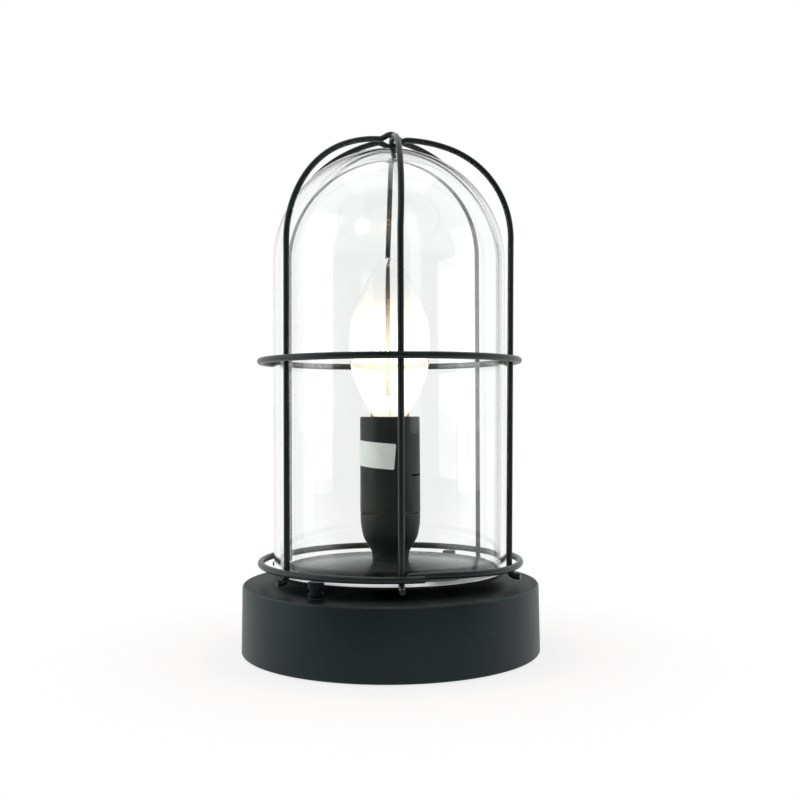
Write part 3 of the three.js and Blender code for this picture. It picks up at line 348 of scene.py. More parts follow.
class Nodes:
    """A node tree that is being built."""

    def __init__(self, tree):
        self.tree = tree

    def node(self, kind, settings=None, inputs=None):
        """One node of a kind, with its settings made first and its sockets filled after."""
        made = self.tree.nodes.new(kind)
        for key, value in (settings or {}).items():
            setattr(made, key, value)
        for key, value in (inputs or {}).items():
            socket = made.inputs[key]
            if isinstance(value, Number):
                value = value.socket
            if isinstance(value, bpy.types.NodeSocket):
                self.tree.links.new(value, socket)
            elif socket.type == "RGBA" and len(value) == 3:
                socket.default_value = (*value, 1)
            else:
                socket.default_value = value
        return made


class Finish(Nodes):
    """A shader tree that is being built, and the short ways to add to it."""

    def __init__(self, tree):
        super().__init__(tree)
        tree.nodes.clear()

    def number(self, kind, settings=None, inputs=None, output=0):
        """One node, and its output as a number for Python's operators."""
        return Number(self, self.node(kind, settings, inputs).outputs[output])

    def blend(self, share, first, second):
        """One colour going over into another."""
        inputs = {"Factor": share, 6: first, 7: second}
        return self.node("ShaderNodeMix", {"data_type": "RGBA"}, inputs).outputs[2]

    def place(self, scale=(1, 1, 1)):
        """A surface point in the object's own axes, stretched by a scale."""
        point = self.node("ShaderNodeTexCoord").outputs["Object"]
        if scale == (1, 1, 1):
            return point
        return self.node("ShaderNodeMapping", None, {"Vector": point, "Scale": scale}).outputs[0]

    def noise(self, scale, detail=2, stretch=(1, 1, 1)):
        """Even noise at a scale, as a number."""
        inputs = {"Vector": self.place(stretch), "Scale": scale, "Detail": detail}
        return self.number("ShaderNodeTexNoise", None, inputs)

    def axes(self):
        """Across, depth and height of a surface point, as numbers."""
        parts = self.node("ShaderNodeSeparateXYZ", None, {0: self.place()})
        return [Number(self, socket) for socket in parts.outputs]

    def bump(self, height, depth, strength=1):
        """A normal bent by a height that goes from 0 to 1."""
        inputs = {"Height": height, "Distance": depth, "Strength": strength}
        return self.node("ShaderNodeBump", None, inputs).outputs[0]

    def principled(self, inputs):
        """A principled shader."""
        return self.node("ShaderNodeBsdfPrincipled", None, inputs)

    def mixed(self, share, first, second):
        """One shader going over into another."""
        inputs = {0: share, 1: first.outputs[0], 2: second.outputs[0]}
        return self.node("ShaderNodeMixShader", None, inputs)

    def surface(self, shader):
        """Puts a shader on the material's output."""
        self.node("ShaderNodeOutputMaterial", None, {"Surface": shader.outputs[0]})


def material(name):
    """A new material with an empty tree."""
    made = bpy.data.materials.new(name)
    made.use_nodes = True
    return made, Finish(made.node_tree)


def shaded(color, factor):
    """A colour made lighter or darker."""
    return tuple(channel * factor for channel in color)


def rim_wear_and_painted_highlight(finish, radius, top):
    """What the edge of a spun top adds to its paint: rubbed spots, a bright line that is a painted
    highlight, and a matt top.
    """
    across, depth, height = finish.axes()
    out = (across * across + depth * depth) ** 0.5

    def near(far, full):
        """Rises towards the edge, from far from it to where it is full."""
        return out.step(radius - far, radius - full) * height.step(top - far, top - full)

    rubbed = near(*RUBBED_EDGE) * finish.noise(420, 3).step(0.35, 0.75)
    # The bright line is a painted highlight along the rounded top edge
    line = near(*PAINTED_EDGE_HIGHLIGHT) * (finish.noise(55, 2).step(0.3, 0.7) * 0.45 + 0.15)
    far, full = MATT_TOP
    matt = height.step(top - far, top - full) * 0.45
    return rubbed, line, matt


def painted(
    name, color, roughness, peel=0.05 * MM, grain=1400, rim=None, gloss=0.3, matt=0, dusty=0,
):
    """Sprayed paint on metal: soft clouds of shade, orange peel and a few rubbed spots.

    A rim is the radius and height of a top edge that wears and bears a painted highlight. Matt is
    the share of the coat without gloss, and a piece with a dusty radius has it towards its front
    only.
    """
    made, finish = material(name)
    clouds = finish.noise(38, 3)
    specks = finish.noise(grain, 1)
    tone = finish.blend(clouds.step(0.3, 0.7), shaded(color, 0.78), shaded(color, 1.25))
    rubbed = finish.noise(260, 3).step(0.6, 0.78) * 0.35
    if rim:
        edge, line, matt = rim_wear_and_painted_highlight(finish, *rim)
        rubbed = rubbed + edge
    tone = finish.blend(rubbed.worked("MINIMUM", 1), tone, shaded(color, 2.6))
    # Painted highlight: the bright line along the rim, seven times lighter than the paint
    if rim:
        tone = finish.blend(line, tone, shaded(color, 7))
    if dusty:
        _, depth, _ = finish.axes()
        full, none = DUST_FADE
        matt = (1 - depth.step(dusty * full, dusty * none)) * matt
    coat = finish.principled({
        "Base Color": tone,
        "Roughness": clouds * 0.12 + specks * 0.1 + (roughness - 0.11),
        "Specular IOR Level": gloss,
        "Specular Tint": COOL,
        "Normal": finish.bump(specks, peel),
    })
    under = finish.node("ShaderNodeBsdfDiffuse", None, {"Color": tone})
    finish.surface(finish.mixed(matt, coat, under))
    return made


def moulded(name, color, roughness=0.46):
    """Moulded black plastic: fine upright drag marks and faint warm patches."""
    made, finish = material(name)
    streaks = finish.noise(620, 3, (1, 1, 0.02))
    patches = finish.noise(70, 2, (1, 1, 0.45))
    warm = (color[0] * 3.2, color[1] * 2, color[2] * 1.4)
    tone = finish.blend(patches.step(0.42, 0.68), color, warm)
    tone = finish.blend(streaks.step(0.55, 0.8) * 0.5, tone, shaded(color, 2))
    finish.surface(finish.principled({
        "Base Color": tone,
        "Roughness": streaks * 0.12 + patches * 0.06 + (roughness - 0.09),
        "Specular IOR Level": 0.3,
        "Specular Tint": COOL,
        "Normal": finish.bump(streaks, 0.012 * MM),
    }))
    return made


def metal(name, color, roughness, stretch=(1, 1, 1), stain=0.7):
    """Bare metal with turning marks and a film in places, which is darker by a stain."""
    made, finish = material(name)
    marks = finish.noise(900, 2, stretch)
    film = finish.noise(160, 3)
    tone = finish.blend(film.step(0.4, 0.7), color, shaded(color, stain))
    finish.surface(finish.principled({
        "Base Color": tone,
        "Metallic": 1.0,
        "Roughness": marks * 0.18 + film * 0.14 + (roughness - 0.16),
        "Normal": finish.bump(marks, 0.02 * MM),
    }))
    return made


def dull(name, color, roughness, grain, depth):
    """Matt solid such as rubber, felt, ceramic or lead insulation, with its grain."""
    made, finish = material(name)
    fine = finish.noise(grain, 3)
    broad = finish.noise(90, 2)
    tone = finish.blend(fine * 0.6 + broad * 0.4, shaded(color, 0.7), shaded(color, 1.3))
    finish.surface(finish.principled({
        "Base Color": tone,
        "Roughness": fine * 0.12 + (roughness - 0.06),
        "Normal": finish.bump(fine, depth),
    }))
    return made


def paper(name, color):
    """Smooth coated paper of a bare label: faint fibres, and slightly soiled in patches."""
    made, finish = material(name)
    fibres = finish.noise(1500, 4, (1, 1, 3))
    soil = finish.noise(240, 3)
    tone = finish.blend(soil.step(0.45, 0.8) * 0.5, color, shaded(color, 0.86))
    finish.surface(finish.principled({
        "Base Color": tone,
        "Roughness": fibres * 0.15 + 0.42,
        "Normal": finish.bump(fibres, 0.012 * MM),
    }))
    return made


def ground_lip_and_painted_glow(finish):
    """Matt white of a ground rim, with a painted glow of emission standing in for the light it
    catches.
    """
    return finish.principled({
        "Base Color": finish.blend(finish.noise(600, 2), (0.8, 0.83, 0.82), (0.9, 0.92, 0.91)),
        "Roughness": 0.6,
        # Painted glow: this emission stands in for light that the rim catches
        "Emission Color": (1, 1, 1),
        "Emission Strength": 0.35,
    })


def clear_glass(name, tint, wave, glow=None, ior=1.45, lip=None):
    """Blown glass: a faint tint and slow waves.

    A glow is a function that gives the inputs for colour and shine. Up to the height of a lip the
    glass is ground matt with a painted glow, least of all at its right, where this painted light
    fades.
    """
    made, finish = material(name)
    inputs = {
        "Roughness": 0.0,
        "IOR": ior,
        "Transmission Weight": 1.0,
        "Normal": finish.bump(finish.noise(34, 1), wave, 0.6),
    }
    if glow:
        inputs.update(glow(finish))
    else:
        inputs["Base Color"] = finish.blend(finish.noise(22, 1), tint, shaded(tint, 0.992))
    glass = finish.principled(inputs)
    open_air = finish.node("ShaderNodeBsdfTransparent", None, {"Color": shaded(tint, 0.96)})
    rays = finish.node("ShaderNodeLightPath")
    shader = finish.mixed(rays.outputs["Is Shadow Ray"], glass, open_air)
    if lip:
        across, _, height = finish.axes()
        # Painted light: the lip's white and glow fade towards the right, as if lit from the left
        lip_fade_painted_light = 1 - across.step(*LIP_LIGHT_FADE) * LIP_LIGHT_LOSS
        share = (1 - height.step(lip, lip + LIP_HEIGHT)) * lip_fade_painted_light
        shader = finish.mixed(share, shader, ground_lip_and_painted_glow(finish))
    finish.surface(shader)
    return made


def glowing(name, color, strength):
    """Hot wire, whose glow changes a little along it."""
    made, finish = material(name)
    heat = finish.noise(900, 1)
    finish.surface(finish.principled({
        "Base Color": (0.08, 0.07, 0.06),
        "Roughness": 0.5,
        "Emission Color": finish.blend(heat, shaded(color, 0.8), color),
        "Emission Strength": strength,
    }))
    return made


# Mesh building


def rounded(corners, steps=6):
    """An outline from corners: each is a radius and a height, and may have a rounding."""
    outline = []
    count = len(corners)
    for i, corner in enumerate(corners):
        here = Vector(corner[:2])
        if len(corner) == 2:
            outline.append(here)
            continue
        before = (Vector(corners[i - 1][:2]) - here).normalized()
        after = (Vector(corners[(i + 1) % count][:2]) - here).normalized()
        half = before.angle(after) / 2
        centre = here + (before + after).normalized() * corner[2] / math.sin(half)
        start = here + before * corner[2] / math.tan(half) - centre
        end = here + after * corner[2] / math.tan(half) - centre
        sweep = start.angle(end)
        for step in range(steps + 1):
            share = step / steps
            mixed = start * math.sin((1 - share) * sweep) + end * math.sin(share * sweep)
            outline.append(centre + mixed / math.sin(sweep))
    return outline


def at_bearing(radius, bearing, height):
    """Point on a circle: bearings are degrees from the front towards +X."""
    angle = math.radians(bearing)
    return Vector((radius * math.sin(angle), -radius * math.cos(angle), height))


def arc(centre, height, radius, start, end, steps):
    """Points of an arc as reach and height, ends included."""
    points = []
    for i in range(steps + 1):
        angle = start + (end - start) * i / steps
        points.append((centre + radius * math.cos(angle), height + radius * math.sin(angle)))
    return points


def smooth_line(points, steps=8):
    """A smooth line through points, with the first and last kept."""
    points = [Vector(point) for point in points]
    ends = [points[0] * 2 - points[1], *points, points[-1] * 2 - points[-2]]
    line = []
    for a, b, c, d in zip(ends, ends[1:], ends[2:], ends[3:]):
        for step in range(steps):
            t = step / steps
            line.append(0.5 * (
                2 * b + (c - a) * t + (2 * a - 5 * b + 4 * c - d) * t ** 2
                + (3 * b - a - 3 * c + d) * t ** 3
            ))
    line.append(points[-1])
    return line


def finished(name, built, look, crease=CREASE):
    """An object from a mesh under construction: faces outwards, smooth between sharp edges."""
    bmesh.ops.remove_doubles(built, verts=built.verts, dist=TINY)
    bmesh.ops.recalc_face_normals(built, faces=built.faces)
    mesh = bpy.data.meshes.new(name)
    built.to_mesh(mesh)
    built.free()
    mesh.shade_smooth()
    mesh.set_sharp_from_angle(angle=math.radians(crease))
    mesh.materials.append(look)
    piece = bpy.data.objects.new(name, mesh)
    bpy.context.scene.collection.objects.link(piece)
    return piece


def turned(name, outline, look, facets, place=None, bend=None, crease=CREASE):
    """A piece turned from one closed outline of radius and height round the upright axis."""
    built = bmesh.new()
    rings = []
    for radius, height in outline:
        if radius < TINY:
            rings.append([built.verts.new((0, 0, height))] * facets)
            continue
        ring = []
        for i in range(facets):
            angle = math.tau * i / facets
            reach = radius + (bend(angle, height) if bend else 0)
            point = (reach * math.sin(angle), -reach * math.cos(angle), height)
            ring.append(built.verts.new(point))
        rings.append(ring)
    for near, far in zip(rings, rings[1:] + rings[:1]):
        for i in range(facets):
            after = (i + 1) % facets
            corners = list(dict.fromkeys((near[i], near[after], far[after], far[i])))
            if len(corners) > 2:
                built.faces.new(corners)
    if place:
        bmesh.ops.transform(built, matrix=place, verts=built.verts)
    return finished(name, built, look, crease)


def standing(place):
    """Upright, with its axis moved to a place."""
    return Matrix.Translation((place.x, place.y, 0))


def lying(height):
    """Lying along the way to the back, at a height: what was up now points to the back."""
    return Matrix.Translation((0, 0, height)) @ Matrix.Rotation(math.radians(-90), 4, "X")


def rod(radius, bottom, top):
    """Outline of a plain rod, for joining and cutting."""
    return [(0, bottom), (radius, bottom), (radius, top), (0, top)]


def plain(piece):
    """Applies what is on a piece, so that only its mesh is left."""
    graph = bpy.context.evaluated_depsgraph_get()
    mesh = bpy.data.meshes.new_from_object(piece.evaluated_get(graph))
    mesh.name = piece.name
    old = piece.data
    piece.modifiers.clear()
    piece.data = mesh
    bpy.data.meshes.remove(old)


def worked_with(piece, tools, operation):
    """A piece joined with, or cut by, other bodies, which are used up."""
    for tool in tools:
        change = piece.modifiers.new(tool.name, "BOOLEAN")
        change.operation = operation
        change.solver = "EXACT"
        change.object = tool
    plain(piece)
    for tool in tools:
        bpy.data.objects.remove(tool)
    piece.data.set_sharp_from_angle(angle=math.radians(CREASE))


def settle(piece, body, slot, *nodes):
    """Puts a piece on its body, in place of the nodes that it stands for."""
    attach(piece, body)
    if nodes:
        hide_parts(*nodes)


def dress(look, *nodes):
    """Gives CAD nodes a finish and leaves their shape alone."""
    for node in nodes:
        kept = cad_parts[node]
        if not kept.material_slots:
            kept.data.materials.append(look)
        for slot in kept.material_slots:
            slot.material = look


def along(name, points, closed=False):
    """A bare line through points, for a node tree to follow."""
    count = len(points)
    edges = [(i, i + 1) for i in range(count - 1)]
    if closed:
        edges.append((count - 1, 0))
    mesh = bpy.data.meshes.new(name)
    mesh.from_pydata([tuple(point) for point in points], edges, [])
    piece = bpy.data.objects.new(name, mesh)
    bpy.context.scene.collection.objects.link(piece)
    return piece


# Node trees for what follows a path or repeats

BEAD_SIZES = (0.88, 1.08)
BEAD_LEVEL = 4


class Tree(Nodes):
    """A geometry node tree with named inputs."""

    def __init__(self, name, inputs):
        super().__init__(bpy.data.node_groups.new(name, "GeometryNodeTree"))
        self.tree.is_modifier = True
        face = self.tree.interface
        face.new_socket("Geometry", in_out="INPUT", socket_type="NodeSocketGeometry")
        self.names = {}
        for label, kind in inputs:
            socket = face.new_socket(label, in_out="INPUT", socket_type=kind)
            self.names[label] = socket.identifier
        face.new_socket("Geometry", in_out="OUTPUT", socket_type="NodeSocketGeometry")
        self.start = self.node("NodeGroupInput")

    def given(self, label):
        """Socket of a named input."""
        return self.start.outputs[label]

    def end(self, geometry):
        """Realizes instances, sets the material and closes the tree."""
        real = self.node("GeometryNodeRealizeInstances", None, {0: geometry})
        inputs = {"Geometry": real.outputs[0], "Material": self.given("Material")}
        dressed = self.node("GeometryNodeSetMaterial", None, inputs)
        self.node("NodeGroupOutput", None, {0: dressed.outputs[0]})
        return self

    def shape(self, piece, values):
        """Runs the tree on an object and leaves a plain mesh."""
        change = piece.modifiers.new("Shape", "NODES")
        change.node_group = self.tree
        for label, value in values.items():
            change[self.names[label]] = value
        plain(piece)
        piece.data.shade_smooth()
        piece.data.set_sharp_from_angle(angle=math.radians(WIRE_CREASE))


def wire_tree():
    """Round wire along a line."""
    tree = Tree("Bent wire", [
        ("Radius", "NodeSocketFloat"),
        ("Sides", "NodeSocketInt"),
        ("Material", "NodeSocketMaterial"),
    ])
    line = tree.node("GeometryNodeMeshToCurve", None, {"Mesh": tree.given("Geometry")})
    section = tree.node("GeometryNodeCurvePrimitiveCircle", None, {
        "Resolution": tree.given("Sides"), "Radius": tree.given("Radius"),
    })
    tube = tree.node("GeometryNodeCurveToMesh", None, {
        "Curve": line.outputs[0], "Profile Curve": section.outputs[0], "Fill Caps": True,
    })
    return tree.end(tube.outputs[0])


def bent_wire(tree, name, points, look, radius, sides, closed=False):
    """A round wire along points."""
    piece = along(name, points, closed)
    tree.shape(piece, {"Radius": radius, "Sides": sides, "Material": look})
    return piece


def bead_tree():
    """Small drops of metal on points, each a little flattened."""
    tree = Tree("Weld beads", [
        ("Radius", "NodeSocketFloat"),
        ("Flatness", "NodeSocketFloat"),
        ("Seed", "NodeSocketInt"),
        ("Material", "NodeSocketMaterial"),
    ])
    points = tree.node("GeometryNodeMeshToPoints", None, {"Mesh": tree.given("Geometry")})
    drop = tree.node("GeometryNodeMeshIcoSphere", None, {
        "Radius": tree.given("Radius"), "Subdivisions": BEAD_LEVEL,
    })
    chance = tree.node("FunctionNodeRandomValue", {"data_type": "FLOAT"}, {
        2: BEAD_SIZES[0], 3: BEAD_SIZES[1], "Seed": tree.given("Seed"),
    })
    height = tree.node("ShaderNodeMath", {"operation": "MULTIPLY"}, {
        0: chance.outputs[1], 1: tree.given("Flatness"),
    })
    size = tree.node("ShaderNodeCombineXYZ", None, {
        0: chance.outputs[1], 1: chance.outputs[1], 2: height.outputs[0],
    })
    drops = tree.node("GeometryNodeInstanceOnPoints", None, {
        "Points": points.outputs[0], "Instance": drop.outputs[0], "Scale": size.outputs[0],
    })
    return tree.end(drops.outputs[0])


def copies_tree():
    """One shape, given as an object, on every point."""
    tree = Tree("Copies", [
        ("Shape", "NodeSocketObject"),
        ("Material", "NodeSocketMaterial"),
    ])
    points = tree.node("GeometryNodeMeshToPoints", None, {"Mesh": tree.given("Geometry")})
    shape = tree.node("GeometryNodeObjectInfo", None, {"Object": tree.given("Shape")})
    copies = tree.node("GeometryNodeInstanceOnPoints", None, {
        "Points": points.outputs[0], "Instance": shape.outputs["Geometry"],
    })
    return tree.end(copies.outputs[0])


# Pieces


class LAMP_OT_base(bpy.types.Operator):
    """Spun steel cover with its screw pillars and holes"""

    bl_idname = "lamp.base"
    bl_label = "Base cover"
    bl_options = {"REGISTER", "UNDO"}

    DRILL_FACETS = 24

    def execute(self, context):
        lamp = context.scene.glass_lamp
        top = high("base_shell").z
        under = top - COVER_SHEET
        foot = low("base_shell").z
        foot_radius = high("base_shell").x
        top_radius = foot_radius - COVER_TAPER
        paint = tuple(lamp.base.paint)
        look = painted("powder_coat", paint, lamp.base.roughness, rim=(top_radius, top))
        cover = turned("base_cover", rounded([
            (THREAD_HOLE, under),
            (THREAD_HOLE, top),
            (top_radius, top, lamp.base.edge),
            (foot_radius, foot, lamp.base.hem),
            (foot_radius - COVER_WALL, foot),
            (top_radius - COVER_WALL, under, lamp.base.edge / 2),
        ]), look, lamp.facets)
        pillars = []
        drills = []
        for screw in BOTTOM_SCREWS:
            place = standing(middle(screw))
            pillar = rod(BOSS_RADIUS, high("bottom_plate").z + CLEAR, under + CLEAR)
            pillars.append(turned("pillar", pillar, look, lamp.small_facets, place))
            drill = rod(SCREW_HOLE, foot, high(screw).z + CLEAR)
            drills.append(turned("drill", drill, look, self.DRILL_FACETS, place))
        punch = rod(GROMMET_HOLE, top - 2 * COVER_SHEET, top + COVER_SHEET)
        for grommet in ("grommet_1", "grommet_2"):
            place = standing(middle(grommet))
            drills.append(turned("punch", punch, look, lamp.small_facets, place))
        inlet = rod(INLET_HOLE, high("ballast").x, foot_radius + COVER_WALL)
        drills.append(turned("inlet", inlet, look, lamp.small_facets, lying(INLET_HEIGHT)))
        worked_with(cover, pillars, "UNION")
        worked_with(cover, drills, "DIFFERENCE")
        settle(cover, "lamp", "black_paint", "base_shell")
        return {"FINISHED"}


class LAMP_OT_underside(bpy.types.Operator):
    """Foot pad, bottom plate, its screws and the ballast"""

    bl_idname = "lamp.underside"
    bl_label = "Underside"
    bl_options = {"REGISTER", "UNDO"}

    HOLE_FACETS = 32
    SCREW_FACETS = 28
    # Screw: radii of its shank and point, its thread, and the cross in its head
    SHANK = 1.4 * MM
    TIP = 0.5 * MM
    TIP_LENGTH = 0.8 * MM
    PITCH = 0.8 * MM
    RIDGE = 0.18 * MM
    STEPS = 60
    BARE_STEPS = 5
    CROSS = (3.1 * MM, 0.55 * MM, 1.1 * MM)

    def execute(self, context):
        lamp = context.scene.glass_lamp
        corner = high("foot_pad")
        felt = dull("felt", (0.018, 0.018, 0.018), 0.95, 1900, 0.2 * MM)
        pad = turned("base_pad", rounded([
            (0, 0), (corner.x, 0, 0.3 * MM), (corner.x, corner.z, 0.5 * MM), (0, corner.z),
        ]), felt, lamp.facets)
        settle(pad, "lamp", "felt", "foot_pad")
        bottom = low("bottom_plate").z
        top = high("bottom_plate").z
        rim = high("bottom_plate").x
        steel = metal("dark_plate", (0.055, 0.052, 0.05), 0.42)
        plate = turned("base_plate", rounded([
            (0, bottom), (rim, bottom, 0.4 * MM), (rim, top, 0.3 * MM), (0, top),
        ]), steel, lamp.facets)
        hole = rod(SCREW_HOLE, bottom - CLEAR, top + CLEAR)
        holes = [
            turned("hole", hole, steel, self.HOLE_FACETS, standing(middle(screw)))
            for screw in BOTTOM_SCREWS
        ]
        worked_with(plate, holes, "DIFFERENCE")
        settle(plate, "lamp", "dark_steel", "bottom_plate")
        self.screws()
        dress(metal("ballast_iron", (0.12, 0.11, 0.1), 0.6, stain=0.45), "ballast")
        return {"FINISHED"}

    def screws(self):
        """Three pan-head screws with a cross in the head."""
        bright = metal("bright_steel", (0.56, 0.56, 0.57), 0.34, (1, 1, 0.05))
        first = BOTTOM_SCREWS[0]
        head_bottom = low(first).z
        head_top = low("bottom_plate").z - CLEAR
        head = half_width(first)
        end = high(first).z
        length = end - head_top
        stem = [
            (self.SHANK, head_top + length * i / self.STEPS)
            for i in range(self.STEPS - self.BARE_STEPS)
        ]
        outline = rounded([
            (0, head_bottom), (head, head_bottom, 0.6 * MM), (head, head_top), *stem,
            (self.SHANK, end - self.TIP_LENGTH), (self.TIP, end), (0, end),
        ])

        def ridge(angle, height):
            """Fine thread below the head."""
            if height < head_top + self.PITCH or height > end - self.PITCH:
                return 0
            return -self.RIDGE * (1 + math.cos(math.tau * height / self.PITCH - angle)) / 2

        screw = turned("screw", outline, bright, self.SCREW_FACETS, bend=ridge)
        stand = Matrix.Translation((0, 0, head_bottom))
        size = Matrix.Diagonal((*self.CROSS, 1))
        slots = []
        for turn in (0, 90):
            place = stand @ Matrix.Rotation(math.radians(turn), 4, "Z") @ size
            built = bmesh.new()
            bmesh.ops.create_cube(built, size=1, matrix=place)
            slots.append(finished("slot", built, bright))
        worked_with(screw, slots, "DIFFERENCE")
        places = [middle(node) for node in BOTTOM_SCREWS]
        screws = along("base_screws", [(place.x, place.y, 0) for place in places])
        copies_tree().shape(screws, {"Shape": screw, "Material": bright})
        bpy.data.objects.remove(screw)
        settle(screws, "lamp", "bare_steel", *BOTTOM_SCREWS)


class LAMP_OT_inlet(bpy.types.Operator):
    """Bush in the back of the base for the mains cord"""

    bl_idname = "lamp.inlet"
    bl_label = "Cord inlet bush"
    bl_options = {"REGISTER", "UNDO"}

    FLANGE = 1.5 * MM

    def execute(self, context):
        lamp = context.scene.glass_lamp
        inner = low("cord_inlet_bush").y
        outer = high("cord_inlet_bush").y
        flange = high("cord_inlet_bush").x
        wall = high("base_shell").x + CLEAR
        look = moulded("bush_plastic", (0.012, 0.012, 0.0118))
        bush = turned("inlet_bush", rounded([
            (INLET_BORE, inner, 0.3 * MM),
            (flange, inner, 0.3 * MM),
            (flange, inner + self.FLANGE),
            (INLET_NECK, inner + self.FLANGE),
            (INLET_NECK, wall),
            (flange, wall),
            (flange, outer, 0.6 * MM),
            (INLET_BORE, outer, 0.5 * MM),
        ]), look, lamp.small_facets, lying(INLET_HEIGHT))
        settle(bush, "lamp", "black_plastic", "cord_inlet_bush")
        return {"FINISHED"}


class LAMP_OT_tray(bpy.types.Operator):
    """Spun tray under the bell and the spacer that carries it"""

    bl_idname = "lamp.tray"
    bl_label = "Tray"
    bl_options = {"REGISTER", "UNDO"}

    SLOPE_START = 0.6 * MM
    CENTRE_BEND = 6 * MM

    def execute(self, context):
        lamp = context.scene.glass_lamp
        top = high("glass_tray").z
        rim = high("glass_tray").x
        flange_bottom = low("glass_tray").z
        flange_top = flange_bottom + TRAY_SHEET
        step_top = flange_top + TRAY_STEP_RISE
        inner = TRAY_STEP - TRAY_SHEET
        look = painted(
            "tray_paint", tuple(lamp.tray.paint), lamp.tray.roughness, 0.02 * MM, 900,
            gloss=1, matt=0.88, dusty=TRAY_STEP,
        )
        tray = turned("glass_dish", rounded([
            (THREAD_HOLE, top - TRAY_SHEET),
            (TRAY_CENTRE, top - TRAY_SHEET, self.CENTRE_BEND),
            (inner, step_top - TRAY_SHEET + self.SLOPE_START, 0.5 * MM),
            (inner, flange_bottom, 0.2 * MM),
            (rim, flange_bottom, 0.4 * MM),
            (rim, flange_top, 0.4 * MM),
            (TRAY_STEP, flange_top, 0.2 * MM),
            (TRAY_STEP, step_top + self.SLOPE_START, 1.1 * MM),
            (TRAY_CENTRE, top, self.CENTRE_BEND),
            (THREAD_HOLE, top),
        ]), look, lamp.facets)
        settle(tray, "lamp", "tray_paint", "glass_tray")
        bottom = low("spacer").z
        head = high("spacer").z
        reach = high("spacer").x
        coat = painted("spacer_paint", tuple(lamp.base.paint), lamp.base.roughness)
        spacer = turned("centre_spacer", rounded([
            (THREAD_HOLE, bottom),
            (reach, bottom, 0.4 * MM),
            (reach, head, 0.4 * MM),
            (THREAD_HOLE, head),
        ]), coat, lamp.small_facets)
        settle(spacer, "lamp", "black_paint", "spacer")
        return {"FINISHED"}


class LAMP_OT_glass(bpy.types.Operator):
    """Blown glass bell with a fire-polished rim"""

    bl_idname = "lamp.glass"
    bl_label = "Glass bell"
    bl_options = {"REGISTER", "UNDO"}

    BEAD = 1.1 * MM
    STEPS = 36
    SHARP = 60

    def execute(self, context):
        lamp = context.scene.glass_lamp
        wall = lamp.glass.wall
        radius = high("glass_dome").x
        rim = low("glass_dome").z
        apex = high("glass_dome").z
        shoulder = apex - lamp.glass.crown
        bead = self.BEAD

        def crown(reach, rise, start, end):
            """Points over the crown between two angles."""
            points = []
            for i in range(self.STEPS + 1):
                angle = math.radians(start + (end - start) * i / self.STEPS)
                points.append(Vector((reach * math.cos(angle), shoulder + rise * math.sin(angle))))
            return points

        outer = crown(radius, lamp.glass.crown, 0, 90)
        inner = crown(radius - wall, lamp.glass.crown - lamp.glass.crown_wall, 90, 0)
        outer[-1].x = 0
        inner[0].x = 0
        lip = rounded([
            (radius - wall, rim + 3 * bead),
            (radius - wall, rim, bead),
            (radius, rim, bead),
            (radius, rim + 3 * bead),
        ], 8)
        look = clear_glass("bell_glass", tuple(lamp.glass.tint), 0.025 * MM, lip=rim + bead)
        outline = [*inner, *lip, *outer]
        bell = turned("glass_bell", outline, look, lamp.facets, crease=self.SHARP)
        settle(bell, "glass", "clear_glass", "glass_dome")
        return {"FINISHED"}


